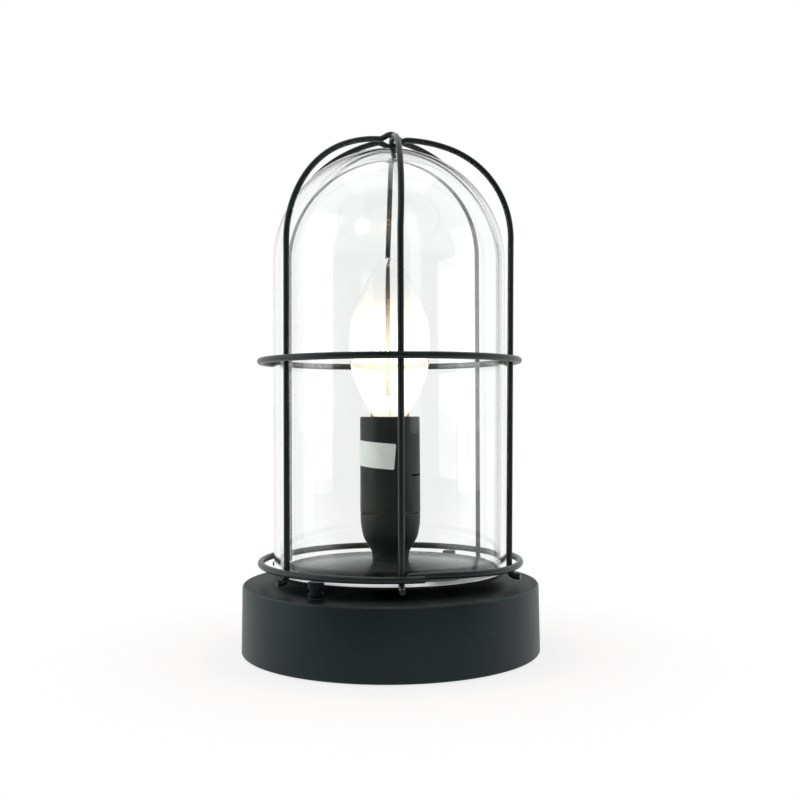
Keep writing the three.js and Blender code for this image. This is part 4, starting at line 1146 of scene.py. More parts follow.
class LAMP_OT_cage(bpy.types.Operator):
    """Wire cage: two rings, three hoops and the welds between them"""

    bl_idname = "lamp.cage"
    bl_label = "Wire cage"
    bl_options = {"REGISTER", "UNDO"}

    # Bearings of each hoop's front leg at its foot and at the shoulder, and of its back leg
    HOOPS = {"a": (126, 126, 307.5), "b": (4.5, 4.5, 181.2), "c": (69.2, 76.2, 247)}
    # How far the crown stands aside, and how near to it the wires part to cross
    CROWN_SHIFT = 1.45 * MM
    CROSSING = 7 * MM
    # Flatter middle of the crown: its rise over the shoulders and its half width
    LIFT = 1.6 * MM
    REACH = 7.6 * MM
    # Hook at the foot of a hoop, and how much lower the wires lie than an even stack
    TOE = 1.8 * MM
    FOOT_DROP = 1.3 * MM
    STACK_DROP = 0.2 * MM
    # Lap of the bottom ring: its rise, and the bearings of its ends and of the bend between
    LAP_RISE = 0.8 * MM
    LAP_OUTER_END = 13.4
    LAP_EASE_START = 58
    LAP_EASE_END = 18
    LAP_INNER_END = 7.2
    # Facets round a wire, and steps along it
    SIDES = 20
    RING_STEPS = 200
    LAP_STEPS = 240
    BEND_STEPS = 10
    SHOULDER_STEPS = 40
    CROWN_STEPS = 36
    BEADS = {"Radius": 1.15 * MM, "Flatness": 0.75, "Seed": 4}

    def execute(self, context):
        lamp = context.scene.glass_lamp
        cage = lamp.cage
        paint = tuple(cage.paint)
        look = painted("wire_paint", paint, cage.roughness, 0.02 * MM, 1600, gloss=0.4)
        tree = wire_tree()
        ring = high("cage_ring_mid").x - cage.ring_wire
        middle_height = middle("cage_ring_mid").z
        base_height = low("cage_ring_base").z + cage.ring_wire
        hoop = ring - cage.ring_wire - CLEAR - cage.hoop_wire
        stagger = 2 * cage.hoop_wire + CLEAR
        crown = high("cage_hoop_b").z - cage.hoop_wire + self.STACK_DROP

        circle = [
            at_bearing(ring, 360 * i / self.RING_STEPS, middle_height)
            for i in range(self.RING_STEPS)
        ]
        piece = bent_wire(
            tree, "cage_ring_middle", circle, look, cage.ring_wire, self.SIDES, closed=True,
        )
        settle(piece, "cage", "wire_paint", "cage_ring_mid")
        lap = self.lapped(ring, base_height, 2 * cage.ring_wire + CLEAR)
        piece = bent_wire(tree, "cage_ring_bottom", lap, look, cage.ring_wire, self.SIDES)
        settle(piece, "cage", "wire_paint", "cage_ring_base")
        shoulder_height = high("glass_dome").z - lamp.glass.crown

        def leg(reach, height, bearing, shoulder):
            """Point of a leg, which turns as it climbs and stands a little to one side on top."""
            climb = (height - base_height) / (shoulder_height - base_height)
            turn = (shoulder - bearing) * min(max(climb, 0), 1)
            over = (height - shoulder_height) / (crown - shoulder_height)
            lean = math.sin(min(max(over, 0), 1) * math.pi / 2)
            place = at_bearing(reach, bearing + turn, height)
            return place + Vector((self.CROWN_SHIFT * lean, 0, 0))

        joint = hoop + cage.hoop_wire + CLEAR / 2
        welds = []
        for i, (letter, (foot, shoulder, behind)) in enumerate(self.HOOPS.items()):
            offset = stagger * (1 - i) - self.STACK_DROP
            half = self.half_hoop(cage, ring, base_height, hoop, crown, offset)
            there = [leg(reach, height, foot, shoulder) for reach, height in half]
            back = [leg(reach, height, behind, behind) for reach, height in half]
            top = leg(0, crown + offset, shoulder, shoulder)
            points = [*there, top, *back[::-1]]
            piece = bent_wire(
                tree, f"cage_wire_{letter}", points, look, cage.hoop_wire, self.SIDES,
            )
            settle(piece, "cage", "wire_paint", f"cage_hoop_{letter}")
            for height in (middle_height, base_height):
                welds.append(leg(joint, height, foot, shoulder))
                welds.append(leg(joint, height, behind, behind))
        stack = crown - self.STACK_DROP
        for side in (1, -1):
            welds.append(Vector((self.CROWN_SHIFT, 0, stack + side * stagger / 2)))
        beads = along("cage_welds", welds)
        bead_tree().shape(beads, {**self.BEADS, "Material": look})
        settle(beads, "cage", "wire_paint")
        return {"FINISHED"}

    def lapped(self, ring, height, draw):
        """Bottom ring: once round, its second end eased inwards past the first."""
        points = []
        sweep = 360 + self.LAP_OUTER_END - self.LAP_INNER_END
        for i in range(self.LAP_STEPS + 1):
            bearing = self.LAP_OUTER_END - sweep * i / self.LAP_STEPS
            turned_on = bearing + 360 - self.LAP_EASE_START
            share = min(max(turned_on / (self.LAP_EASE_END - self.LAP_EASE_START), 0), 1)
            eased = share * share * (3 - 2 * share)
            rise = self.LAP_RISE * eased
            points.append(at_bearing(ring - draw * eased, bearing, height + rise))
        return points

    def half_hoop(self, cage, ring, base_height, hoop, crown, offset):
        """Half a hoop from its toe to just before the top, as reach and height."""
        foot = cage.ring_wire + CLEAR + cage.hoop_wire
        shoulder_radius = hoop - self.REACH
        shoulder = crown - self.LIFT - shoulder_radius
        drop = (self.REACH ** 2 - self.LIFT ** 2) / (2 * self.LIFT)
        crown_radius = shoulder_radius + self.LIFT + drop
        join = math.atan2(drop, self.REACH)
        foot_height = base_height - self.FOOT_DROP
        down = math.radians(270)
        inwards = math.radians(180)
        half = [(ring + self.TOE, foot_height - foot)]
        half += arc(ring, foot_height, foot, down, inwards, self.BEND_STEPS)
        half += arc(self.REACH, shoulder, shoulder_radius, 0, join, self.SHOULDER_STEPS)
        last = crown_radius * math.cos(join)
        for i in range(1, self.CROWN_STEPS):
            reach = last * (1 - i / self.CROWN_STEPS)
            share = min(reach / self.CROSSING, 1)
            bump = offset * (1 + math.cos(math.pi * share)) / 2
            rise = math.sqrt(crown_radius ** 2 - reach ** 2)
            half.append((reach, shoulder - drop + rise + bump))
        return half


class LAMP_OT_posts(bpy.types.Operator):
    """Bushes with pins under the bottom ring, and the rubber grommets that take them"""

    bl_idname = "lamp.posts"
    bl_label = "Cage bushes"
    bl_options = {"REGISTER", "UNDO"}

    FOOT_RADIUS = 3.2 * MM
    FOOT_HEIGHT = 1.2 * MM
    NECK_RADIUS = 2.4 * MM
    HEAD_HEIGHT = 2.8 * MM
    COLLAR_DRAW = 0.7 * MM

    def execute(self, context):
        lamp = context.scene.glass_lamp
        shade = shaded(tuple(lamp.cage.paint), 0.6)
        paint = painted("bush_paint", shade, 0.4, 0.02 * MM, 1600, gloss=0.15)
        rubber = dull("rubber", (0.006, 0.0075, 0.0072), 0.7, 1300, 0.05 * MM)
        for i in (1, 2):
            self.bush(lamp, i, paint)
            self.grommet(lamp, i, rubber)
        return {"FINISHED"}

    def bush(self, lamp, i, look):
        """Round bush with a pin."""
        node = f"cage_bush_{i}"
        top = high(node).z
        bottom = high(f"grommet_{i}").z + CLEAR
        pin_end = low(node).z
        radius = half_width(node)
        pin = PIN_BORE - CLEAR
        foot_top = bottom + self.FOOT_HEIGHT
        head_bottom = top - self.HEAD_HEIGHT
        piece = turned(f"cage_post_{i}", rounded([
            (0, pin_end),
            (pin, pin_end, 0.5 * MM),
            (pin, bottom),
            (self.FOOT_RADIUS, bottom, 0.25 * MM),
            (self.FOOT_RADIUS, foot_top, 0.25 * MM),
            (self.NECK_RADIUS, foot_top),
            (self.NECK_RADIUS, head_bottom),
            (radius, head_bottom, 0.5 * MM),
            (radius, top, 0.35 * MM),
            (0, top),
        ]), look, lamp.small_facets, standing(middle(node)))
        settle(piece, "cage", "wire_paint", node)

    def grommet(self, lamp, i, look):
        """Rubber ring with a groove for the cover's sheet."""
        node = f"grommet_{i}"
        top = high(node).z
        bottom = low(node).z
        radius = half_width(node)
        cover = high("base_shell").z
        neck = GROMMET_HOLE - CLEAR
        lip = cover - COVER_SHEET - CLEAR
        piece = turned(f"post_grommet_{i}", rounded([
            (PIN_BORE, bottom),
            (radius, bottom, 0.5 * MM),
            (radius, lip, 0.3 * MM),
            (neck, lip),
            (neck, cover + CLEAR),
            (radius - self.COLLAR_DRAW, cover + CLEAR, 0.2 * MM),
            (radius - self.COLLAR_DRAW, top, 0.5 * MM),
            (PIN_BORE, top, 0.3 * MM),
        ]), look, lamp.small_facets, standing(middle(node)))
        settle(piece, "lamp", "rubber", node)


class LAMP_OT_holder(bpy.types.Operator):
    """Moulded shells of the lamp holder"""

    bl_idname = "lamp.holder"
    bl_label = "Lamp holder"
    bl_options = {"REGISTER", "UNDO"}

    FACETS = 96
    CUTTER_FACETS = 32
    COLLAR = 8 * MM
    NECK = 42.1 * MM
    # Reach and height, in millimetres, outside the bowl from the neck up and inside it down
    BOWL = ((9.96, 45.5), (11.6, 48.6), (12.5, 52.5), (12.88, 56))
    INSIDE = ((9.75, 55.7), (9.75, 49.4), (8.36, 45.5))
    FLOOR = 44.6 * MM
    SEAM_EDGE = 0.25 * MM
    BOWL_STEPS = 6
    DRAFT = 0.1 * MM
    BORE_DRAFT = 0.2 * MM
    # Slot in the sleeve: between two bearings and two heights, and how deep it is cut
    SLOT_BEARINGS = (46, 84)
    SLOT_HEIGHTS = (75 * MM, 75.8 * MM)
    SLOT_REACH = (9.9 * MM, 15 * MM)
    SLOT_STEPS = 24

    def execute(self, context):
        lamp = context.scene.glass_lamp
        look = moulded("holder_plastic", tuple(lamp.holder.plastic))
        self.cap(look)
        self.sleeve(lamp, look)
        grub = metal("grub_steel", (0.5, 0.5, 0.51), 0.32, (1, 0.05, 1))
        dress(grub, "lock_screw")
        return {"FINISHED"}

    def cap(self, look):
        """Lower shell: a bowl over a collar, with a ledge inside."""
        seam = high("holder_cap").z
        seam_radius = high("holder_cap").x
        bottom = low("holder_cap").z
        bowl = smooth_line([
            (self.COLLAR, self.NECK),
            *((reach * MM, height * MM) for reach, height in self.BOWL),
            (seam_radius - self.DRAFT, seam - self.SEAM_EDGE),
        ], self.BOWL_STEPS)
        collar = rounded([
            (THREAD_HOLE, bottom), (self.COLLAR, bottom, 0.3 * MM), (self.COLLAR, self.NECK),
        ])
        bore = seam_radius - HOLDER_WALL
        inside = [(reach * MM, height * MM) for reach, height in self.INSIDE]
        outline = [
            *collar[:-1], *bowl, (seam_radius - self.SEAM_EDGE, seam), (bore, seam),
            (bore - self.BORE_DRAFT, inside[0][1]), *inside, (THREAD_HOLE, self.FLOOR),
        ]
        cap = turned("holder_bowl", [Vector(point) for point in outline], look, self.FACETS)
        hole = rod(half_width("lock_screw") + CLEAR, THREAD_HOLE - CLEAR, 2 * self.COLLAR)
        place = lying(middle("lock_screw").z)
        cutter = turned("hole", hole, look, self.CUTTER_FACETS, place)
        worked_with(cap, [cutter], "DIFFERENCE")
        settle(cap, "lamp", "black_plastic", "holder_cap")

    def sleeve(self, lamp, look):
        """Upper shell with a narrow slot in its side."""
        bottom = low("holder_sleeve").z
        top = high("holder_sleeve").z
        foot_radius = high("holder_sleeve").x
        top_radius = foot_radius - self.DRAFT
        sleeve = turned("holder_tube", rounded([
            (foot_radius - HOLDER_WALL, bottom),
            (foot_radius, bottom, 0.25 * MM),
            (top_radius, top, lamp.holder.mouth),
            (top_radius - HOLDER_WALL, top, 0.3 * MM),
        ]), look, self.FACETS)
        worked_with(sleeve, [self.slot(look)], "DIFFERENCE")
        settle(sleeve, "lamp", "black_plastic", "holder_sleeve")

    def slot(self, look):
        """Bent bar that cuts the slot."""
        near, far = self.SLOT_REACH
        under, over = self.SLOT_HEIGHTS
        start, end = self.SLOT_BEARINGS
        built = bmesh.new()
        columns = []
        for i in range(self.SLOT_STEPS + 1):
            bearing = start + (end - start) * i / self.SLOT_STEPS
            columns.append([
                built.verts.new(at_bearing(reach, bearing, height))
                for reach, height in ((near, under), (far, under), (far, over), (near, over))
            ])
        for first, second in zip(columns, columns[1:]):
            for i in range(4):
                after = (i + 1) % 4
                built.faces.new((first[i], first[after], second[after], second[i]))
        built.faces.new(columns[0])
        built.faces.new(columns[-1])
        return finished("slot", built, look)


class LAMP_OT_label(bpy.types.Operator):
    """Blank paper label round the holder, set a little askew"""

    bl_idname = "lamp.label"
    bl_label = "Blank label"
    bl_options = {"REGISTER", "UNDO"}

    STAND_OFF = 0.05 * MM
    # Bearings of its ends, its height, how much lower it ends than it starts, and its foot
    START = -100
    END = 7.6
    TALL = 10.8 * MM
    DROP = 2 * MM
    BASE = 80 * MM
    CORNER = 0.7 * MM
    COLUMNS = 72
    ROWS = 8

    def execute(self, context):
        lamp = context.scene.glass_lamp
        radius = high("holder_sleeve").x + self.STAND_OFF
        built = bmesh.new()
        inner = self.sheet(built, radius, 0)
        outer = self.sheet(built, radius, lamp.holder.label_sheet)
        for i in range(self.COLUMNS):
            for j in range(self.ROWS):
                for grid in (inner, outer):
                    built.faces.new((
                        grid[i][j], grid[i + 1][j], grid[i + 1][j + 1], grid[i][j + 1],
                    ))
            for j in (0, self.ROWS):
                built.faces.new((inner[i][j], inner[i + 1][j], outer[i + 1][j], outer[i][j]))
        for j in range(self.ROWS):
            for i in (0, self.COLUMNS):
                built.faces.new((inner[i][j], inner[i][j + 1], outer[i][j + 1], outer[i][j]))
        label = finished("bare_label", built, paper("label_paper", tuple(lamp.holder.label)))
        settle(label, "lamp", "paper", "holder_label")
        return {"FINISHED"}

    def sheet(self, built, radius, lift):
        """Columns of points on one side of the paper, whose corners are round."""
        length = radius * math.radians(self.END - self.START)
        slope = math.atan2(self.DROP, length)
        grid = []
        for i in range(self.COLUMNS + 1):
            run = length * (1 - math.cos(math.pi * i / self.COLUMNS)) / 2
            over = max(self.CORNER - min(run, length - run), 0)
            trim = self.CORNER - math.sqrt(max(self.CORNER ** 2 - over ** 2, 0))
            column = []
            for j in range(self.ROWS + 1):
                up = trim + (self.TALL - 2 * trim) * j / self.ROWS
                across = run * math.cos(slope) + up * math.sin(slope)
                height = self.BASE - run * math.sin(slope) + up * math.cos(slope)
                bearing = self.START + math.degrees(across / radius)
                column.append(built.verts.new(at_bearing(radius + lift, bearing, height)))
            grid.append(column)
        return grid


class LAMP_OT_workings(bpy.types.Operator):
    """Finishes of what is inside the holder and the base"""

    bl_idname = "lamp.workings"
    bl_label = "Inner parts"
    bl_options = {"REGISTER", "UNDO"}

    LEADS = {
        "lead_live": (0.13, 0.045, 0.016),
        "lead_neutral": (0.025, 0.1, 0.34),
        "lead_earth": (0.14, 0.3, 0.03),
    }

    def execute(self, context):
        steel = metal("zinc_steel", (0.52, 0.52, 0.5), 0.4, (1, 1, 0.04))
        dress(steel, "nipple", "base_washer", "base_nut")
        brass = metal("brass", (0.62, 0.43, 0.16), 0.32)
        dress(
            brass, "earth_tag", "terminal_screw_1", "terminal_screw_2", "screw_shell",
            "centre_contact", "side_contact",
        )
        ceramic = dull("ceramic", (0.66, 0.61, 0.5), 0.55, 700, 0.03 * MM)
        dress(ceramic, "holder_insulator", "terminal_block")
        for lead, color in self.LEADS.items():
            dress(dull(f"{lead}_skin", color, 0.5, 800, 0.02 * MM), lead)
        return {"FINISHED"}


class LAMP_OT_bulb(bpy.types.Operator):
    """Clear candle bulb: glass, screw cap and its foot"""

    bl_idname = "lamp.bulb"
    bl_label = "Bulb"
    bl_options = {"REGISTER", "UNDO"}

    FACETS = 96
    SHARP = 70
    IOR = 1.25
    TINT = (0.99, 0.99, 0.985)
    NECK_RADIUS = 6.1 * MM
    # Outline of the glass over its straight neck: shares of the widest radius and of the height
    NECK_SHARE = 0.06
    SHARES = (
        (0.434, 0.118), (0.49, 0.165), (0.66, 0.245), (0.85, 0.335), (0.965, 0.425), (1, 0.5),
        (0.983, 0.629), (0.909, 0.7), (0.771, 0.7725), (0.566, 0.87), (0.41, 0.932), (0.25, 0.977),
    )
    TIP_SHARE = 0.07
    TIP_DROP = 0.0012
    OUTLINE_STEPS = 7
    TIP_WALL = 1.4
    # Heights from the filament between which the shine in the glass rises, fades and dies away
    SHINE_RISE = (-38 * MM, -16 * MM)
    SHINE_FADE = (-4 * MM, 25 * MM)
    SHINE_TRAIL = (8 * MM, 38 * MM)

    CAP_FACETS = 64
    CAP_SHARP = 50
    CAP_STEPS = 72
    CAP_TAPER = 1.6 * MM
    CAP_WALL = 0.4 * MM
    CAP_COLLAR = 3 * MM
    CAP_HOLE = 3.1 * MM

    def execute(self, context):
        lamp = context.scene.glass_lamp
        self.glass(lamp)
        self.cap(lamp)
        vitrite = dull("vitrite", (0.01, 0.01, 0.012), 0.2, 500, 0.01 * MM)
        dress(vitrite, "bulb_insulator")
        dress(metal("contact_metal", (0.55, 0.52, 0.46), 0.4), "bulb_contact")
        return {"FINISHED"}

    def glass(self, lamp):
        """Candle-shaped envelope with an even wall."""
        tip = high("bulb_glass").z
        neck = low("bulb_glass").z
        wide = high("bulb_glass").x
        tall = tip - neck
        wall = lamp.bulb.wall
        outer = smooth_line([
            (self.NECK_RADIUS, neck), (self.NECK_RADIUS, neck + self.NECK_SHARE * tall),
            *((wide * share, neck + tall * rise) for share, rise in self.SHARES),
            (self.TIP_SHARE * wide, tip - self.TIP_DROP * tall),
        ], self.OUTLINE_STEPS)
        inner = []
        for i, point in enumerate(outer):
            before = outer[max(i - 1, 0)]
            after = outer[min(i + 1, len(outer) - 1)]
            way = (after - before).normalized()
            inward = point + Vector((-way.y, way.x)) * wall
            if inward.x > wall:
                inner.append(inward)
        ends = [Vector((0, tip - self.TIP_WALL * wall)), Vector((0, tip))]
        outline = [ends[0], *inner[::-1], *outer, ends[1]]
        look = clear_glass("bulb_clear", self.TINT, 0.03 * MM, self.glare(lamp), self.IOR)
        bulb = turned("bulb_envelope", outline, look, self.FACETS, crease=self.SHARP)
        settle(bulb, "bulb", "bulb_glass", "bulb_glass")

    def glare(self, lamp):
        """Gives the function that makes the glass shine round the hot wire."""
        filament = middle("filament").z
        strength = lamp.bulb.glare

        def shine(finish):
            """Warm shine, weaker at the outline of the glass, and a cream tint painted into the
            glass where it shines.
            """
            height = finish.axes()[2]
            spans = (self.SHINE_RISE, self.SHINE_FADE, self.SHINE_TRAIL)
            rise, fade, trail = (
                height.step(filament + start, filament + end) for start, end in spans
            )
            mask = rise * ((1 - fade) * 0.9 + (1 - trail) * 0.1)
            facing = finish.number("ShaderNodeLayerWeight", None, {"Blend": 0.5}, 1)
            color = finish.blend(mask, (1.0, 0.66, 0.34), (1.0, 0.93, 0.76))
            return {
                # Painted warm light: the glass is tinted cream where it shines
                "Base Color": finish.blend(mask, self.TINT, (0.99, 0.98, 0.945)),
                "Emission Color": finish.blend(mask * (1 - facing * facing), (0, 0, 0), color),
                "Emission Strength": strength,
            }

        return shine

    def cap(self, lamp):
        """Rolled brass cap with its thread."""
        top = high("bulb_cap").z
        bottom = low("bulb_cap").z
        radius = high("bulb_cap").x
        depth = lamp.bulb.thread
        pitch = lamp.bulb.pitch
        first = bottom + self.CAP_TAPER
        last = top - self.CAP_COLLAR

        def thread(angle, height):
            """Depth of the rolled groove at a point of the cap."""
            if height < first or height > last:
                return 0
            ease = min((height - first) / pitch, (last - height) / pitch, 1)
            return -depth * ease * (1 - math.cos(math.tau * height / pitch - angle)) / 2

        side = [
            (radius, first + (top - first) * i / self.CAP_STEPS)
            for i in range(self.CAP_STEPS + 1)
        ]
        hole = radius - self.CAP_HOLE
        foot = radius - self.CAP_TAPER
        bore = radius - depth - self.CAP_WALL
        floor = bottom + self.CAP_WALL
        outline = [
            (hole, bottom), (foot, bottom), *side,
            (bore, top), (bore, first), (foot - self.CAP_WALL, floor), (hole, floor),
        ]
        look = metal("cap_brass", (0.66, 0.47, 0.19), 0.3, stain=0.8)
        cap = turned(
            "bulb_screw", outline, look, self.CAP_FACETS, bend=thread, crease=self.CAP_SHARP,
        )
        settle(cap, "bulb", "brass", "bulb_cap")


class LAMP_OT_filament(bpy.types.Operator):
    """Stem, lead wires, supports and the coiled filament"""

    bl_idname = "lamp.filament"
    bl_label = "Inside of the bulb"
    bl_options = {"REGISTER", "UNDO"}

    STEM = 1.9 * MM
    STEM_FACETS = 40
    SHARP = 70
    # Outline of the stem's skirt: how far outside the stem, and how far over its foot
    SKIRT = ((0.5 * MM, 3 * MM), (0, 5 * MM))
    FLARE_DRAW = 1.4 * MM
    FLARE_RISE = 1.2 * MM
    # The stem's pinched end: how far inside the stem, and how far under its top
    PINCH = ((0, 1.6 * MM), (0.3 * MM, 0.5 * MM), (1 * MM, 0))
    INNER_SHARE = 0.4
    INSET = 0.2 * MM
    LEAD = 0.25 * MM
    SUPPORT = 0.2 * MM
    WIRE_SIDES = 10
    TURNS = 70
    TURN_STEPS = 10
    STRAND = 0.07 * MM
    STRAND_SIDES = 6
    COIL_SHARE = 0.6
    HEAT = 40

    def execute(self, context):
        lamp = context.scene.glass_lamp
        self.stem()
        wire = wire_tree()
        self.leads(wire)
        self.coil(lamp, wire)
        return {"FINISHED"}

    def stem(self):
        """Glass foot with a flared skirt."""
        bottom = low("bulb_stem").z
        top = high("bulb_stem").z
        flare = high("bulb_stem").x
        clear = clear_glass("stem_glass", (0.985, 0.985, 0.975), 0.02 * MM)
        skirt = smooth_line([
            (flare, bottom), (flare - self.FLARE_DRAW, bottom + self.FLARE_RISE),
            *((self.STEM + out, bottom + up) for out, up in self.SKIRT),
            *((self.STEM - draw, top - down) for draw, down in self.PINCH),
        ], 6)
        outline = [(0, bottom), *skirt, (0, top)]
        stem = turned("bulb_foot", outline, clear, self.STEM_FACETS, crease=self.SHARP)
        settle(stem, "bulb", "bulb_glass", "bulb_stem")

    def reach(self):
        """Half the filament's width, the height of its ends and its rise between them."""
        span = high("filament").x - self.INSET
        low_end = low("filament").z + self.INSET
        rise = high("filament").z - low("filament").z - 2 * self.INSET
        return span, low_end, rise

    def leads(self, wire):
        """Two lead wires to the filament's ends and two supports between them."""
        span, low_end, rise = self.reach()
        foot = high("bulb_stem").z + CLEAR
        inner = self.STEM * self.INNER_SHARE
        steel = metal("support_wire", (0.5, 0.47, 0.42), 0.35)
        for i, side in ((1, 1), (2, -1)):
            lead = smooth_line([
                (side * inner, 0, foot), (side * 2 * inner, 0, foot + span),
                (side * span * 0.8, 0, low_end - 4 * MM), (side * span, 0, low_end - CLEAR),
            ])
            piece = bent_wire(wire, f"lead_wire_{i}", lead, steel, self.LEAD, self.WIRE_SIDES)
            settle(piece, "bulb", "bare_steel", f"bulb_lead_{i}")
            support = smooth_line([
                (0, side * inner, foot), (0, side * inner, low_end - span - CLEAR),
                (side * span / 2, side * inner / 2, low_end + 0.7 * MM),
                (side * span / 2, side * inner / 2, low_end - CLEAR + rise),
            ], 10)
            piece = bent_wire(
                wire, f"support_wire_{i}", support, steel, self.SUPPORT, self.WIRE_SIDES,
            )
            settle(piece, "bulb", "bare_steel", f"bulb_support_{i}")

    def coil(self, lamp, wire):
        """Fine coil along the filament's two arches."""
        span, low_end, rise = self.reach()
        steps = self.TURNS * self.TURN_STEPS

        def place(share):
            """Point of the filament's middle line."""
            height = low_end + rise * math.sin(math.tau * share) ** 2
            return Vector((span * (2 * share - 1), 0, height))

        points = []
        side = Vector((0, 1, 0))
        for i in range(steps + 1):
            share = i / steps
            way = (place(min(share + 0.001, 1)) - place(max(share - 0.001, 0))).normalized()
            other = way.cross(side)
            angle = math.tau * i / self.TURN_STEPS
            out = side * math.cos(angle) + other * math.sin(angle)
            points.append(place(share) + out * (lamp.bulb.coil * self.COIL_SHARE))
        hot = glowing("hot_wire", tuple(lamp.bulb.glow), self.HEAT)
        piece = bent_wire(wire, "bulb_coil", points, hot, self.STRAND, self.STRAND_SIDES)
        settle(piece, "bulb", "filament_wire", "filament")


class LAMP_OT_stage(bpy.types.Operator):
    """Camera, pale floor and soft light"""

    bl_idname = "lamp.stage"
    bl_label = "Stage"
    bl_options = {"REGISTER", "UNDO"}

    # How the camera is turned, tilted and rolled, in degrees
    TURN = -0.55
    TILT = 90.668
    ROLL = -0.3
    CLIP = 0.01
    SENSOR = 36

    FLOOR_SIZE = 8
    FLOOR_DROP = 0.05 * MM
    # Radii between which the shadow on the floor fades out, and its strength near and far
    SHADOW = (0.066, 0.16)
    SHADOW_SHARE = 0.8
    # Depths between which the floor in front goes dark for glass and gloss
    DARK_FLOOR = (-0.42, -0.12)
    DARK_LEVEL = 0.06

    # Ways to look, as the depth of a unit ray, between which the surroundings go over
    BACK_FADE = (-0.85, 0.55)
    GLASS_FADE = (-0.4, 0)
    GLASS_LEVEL = 0.88
    STRAIGHT_FADE = (0.1, 0.4)
    # Lights in front: left, right, bottom, top and the softness of their edges, in degrees
    LEFT_WINDOW = (-102, -60, -30, 36, 6)
    STRIP_WINDOW = (20, 31, 0, 50, 3)
    RIGHT_WINDOW = (64, 100, -30, 9, 6)
    # Small round light: bearing, height, and the radii between which it fades, in degrees
    BOWL = (-28.5, 31, 5, 10)

    # Soft boxes: place, width and height, and power
    BOXES = {
        "left_box": ((-0.85, -0.25, 0.4), (0.6, 0.9), 2.8),
        "right_box": ((0.85, -0.1, 0.3), (0.5, 0.6), 1.6),
        "top_box": ((0.0, 0.1, 1.1), (0.9, 0.7), 2.2),
    }
    AIM = (0, 0, 0.11)
    FILAMENT_POWER = 0.14
    FILAMENT_SIZE = 8 * MM

    def execute(self, context):
        lamp = context.scene.glass_lamp
        self.camera(lamp.stage)
        self.floor()
        self.world(lamp.stage)
        for name, (place, size, power) in self.BOXES.items():
            self.soft_box(name, Vector(place), size, power)
        self.filament_light(lamp.bulb)
        context.scene.view_settings.view_transform = "Standard"
        return {"FINISHED"}

    def camera(self, stage):
        """Camera at the photograph's angle."""
        lens = bpy.data.cameras.new("camera")
        lens.lens = stage.lens
        lens.sensor_width = self.SENSOR
        lens.clip_start = self.CLIP
        camera = bpy.data.objects.new("camera", lens)
        turn = Matrix.Rotation(math.radians(self.TURN), 4, "Z")
        tilt = Matrix.Rotation(math.radians(self.TILT), 4, "X")
        roll = Matrix.Rotation(math.radians(self.ROLL), 4, "Z")
        place = Matrix.Translation((0, -stage.distance, stage.height))
        camera.matrix_world = place @ turn @ tilt @ roll
        bpy.context.scene.collection.objects.link(camera)
        bpy.context.scene.camera = camera

    def straight(self, finish, rays):
        """One for what is seen through glass without a reflection on the way, or else zero."""
        through = Number(finish, rays.outputs["Is Transmission Ray"])
        mirrored = Number(finish, rays.outputs["Glossy Depth"])
        scattered = Number(finish, rays.outputs["Diffuse Depth"])
        return through * (1 - (mirrored + scattered).worked("MINIMUM", 1))

    def floor(self):
        """White floor that keeps a soft shadow, and is dark in front for glass and gloss."""
        made, finish = material("floor_white")
        rays = finish.node("ShaderNodeLightPath")
        glossy = Number(finish, rays.outputs["Is Glossy Ray"])
        bent = glossy.worked("MAXIMUM", rays.outputs["Is Transmission Ray"])
        seen = bent.worked("MAXIMUM", rays.outputs["Is Camera Ray"])
        across, depth, _ = finish.axes()
        away = ((across * across + depth * depth) ** 0.5).step(*self.SHADOW)
        color = finish.blend(finish.noise(3, 2), (0.86, 0.86, 0.86), (0.9, 0.9, 0.9))
        matt = finish.node("ShaderNodeBsdfDiffuse", None, {"Color": color})
        white, dark = (
            finish.node("ShaderNodeEmission", None, {"Color": (1, 1, 1), "Strength": strength})
            for strength in (1, self.DARK_LEVEL)
        )
        share = away * (1 - self.SHADOW_SHARE) + self.SHADOW_SHARE
        lit = finish.mixed(seen * share, matt, white)
        in_front = bent * (1 - self.straight(finish, rays)) * (1 - depth.step(*self.DARK_FLOOR))
        finish.surface(finish.mixed(in_front, lit, dark))
        built = bmesh.new()
        bmesh.ops.create_grid(built, x_segments=1, y_segments=1, size=self.FLOOR_SIZE)
        floor = finished("floor", built, made)
        floor.data.transform(Matrix.Translation((0, 0, -self.FLOOR_DROP)))

    def world(self, stage):
        """White all round except towards the camera, where a studio is dark but for its lights."""
        world = bpy.data.worlds.new("studio")
        world.use_nodes = True
        bpy.context.scene.world = world
        finish = Finish(world.node_tree)
        ray = finish.node("ShaderNodeTexCoord").outputs["Generated"]
        parts = finish.node("ShaderNodeSeparateXYZ", None, {0: ray})
        across, depth, up = (Number(finish, socket) for socket in parts.outputs)
        bearing = across.worked("ARCTAN2", depth * -1) * (180 / math.pi)
        rise = up.worked("ARCSINE") * (180 / math.pi)
        rays = finish.node("ShaderNodeLightPath")
        camera, diffuse, through, glossy = (
            Number(finish, rays.outputs[f"Is {kind} Ray"])
            for kind in ("Camera", "Diffuse", "Transmission", "Glossy")
        )

        def between(angle, start, end, edge):
            """One between two angles, with soft edges, and zero outside them."""
            return angle.step(start - edge, start + edge) * (1 - angle.step(end - edge, end + edge))

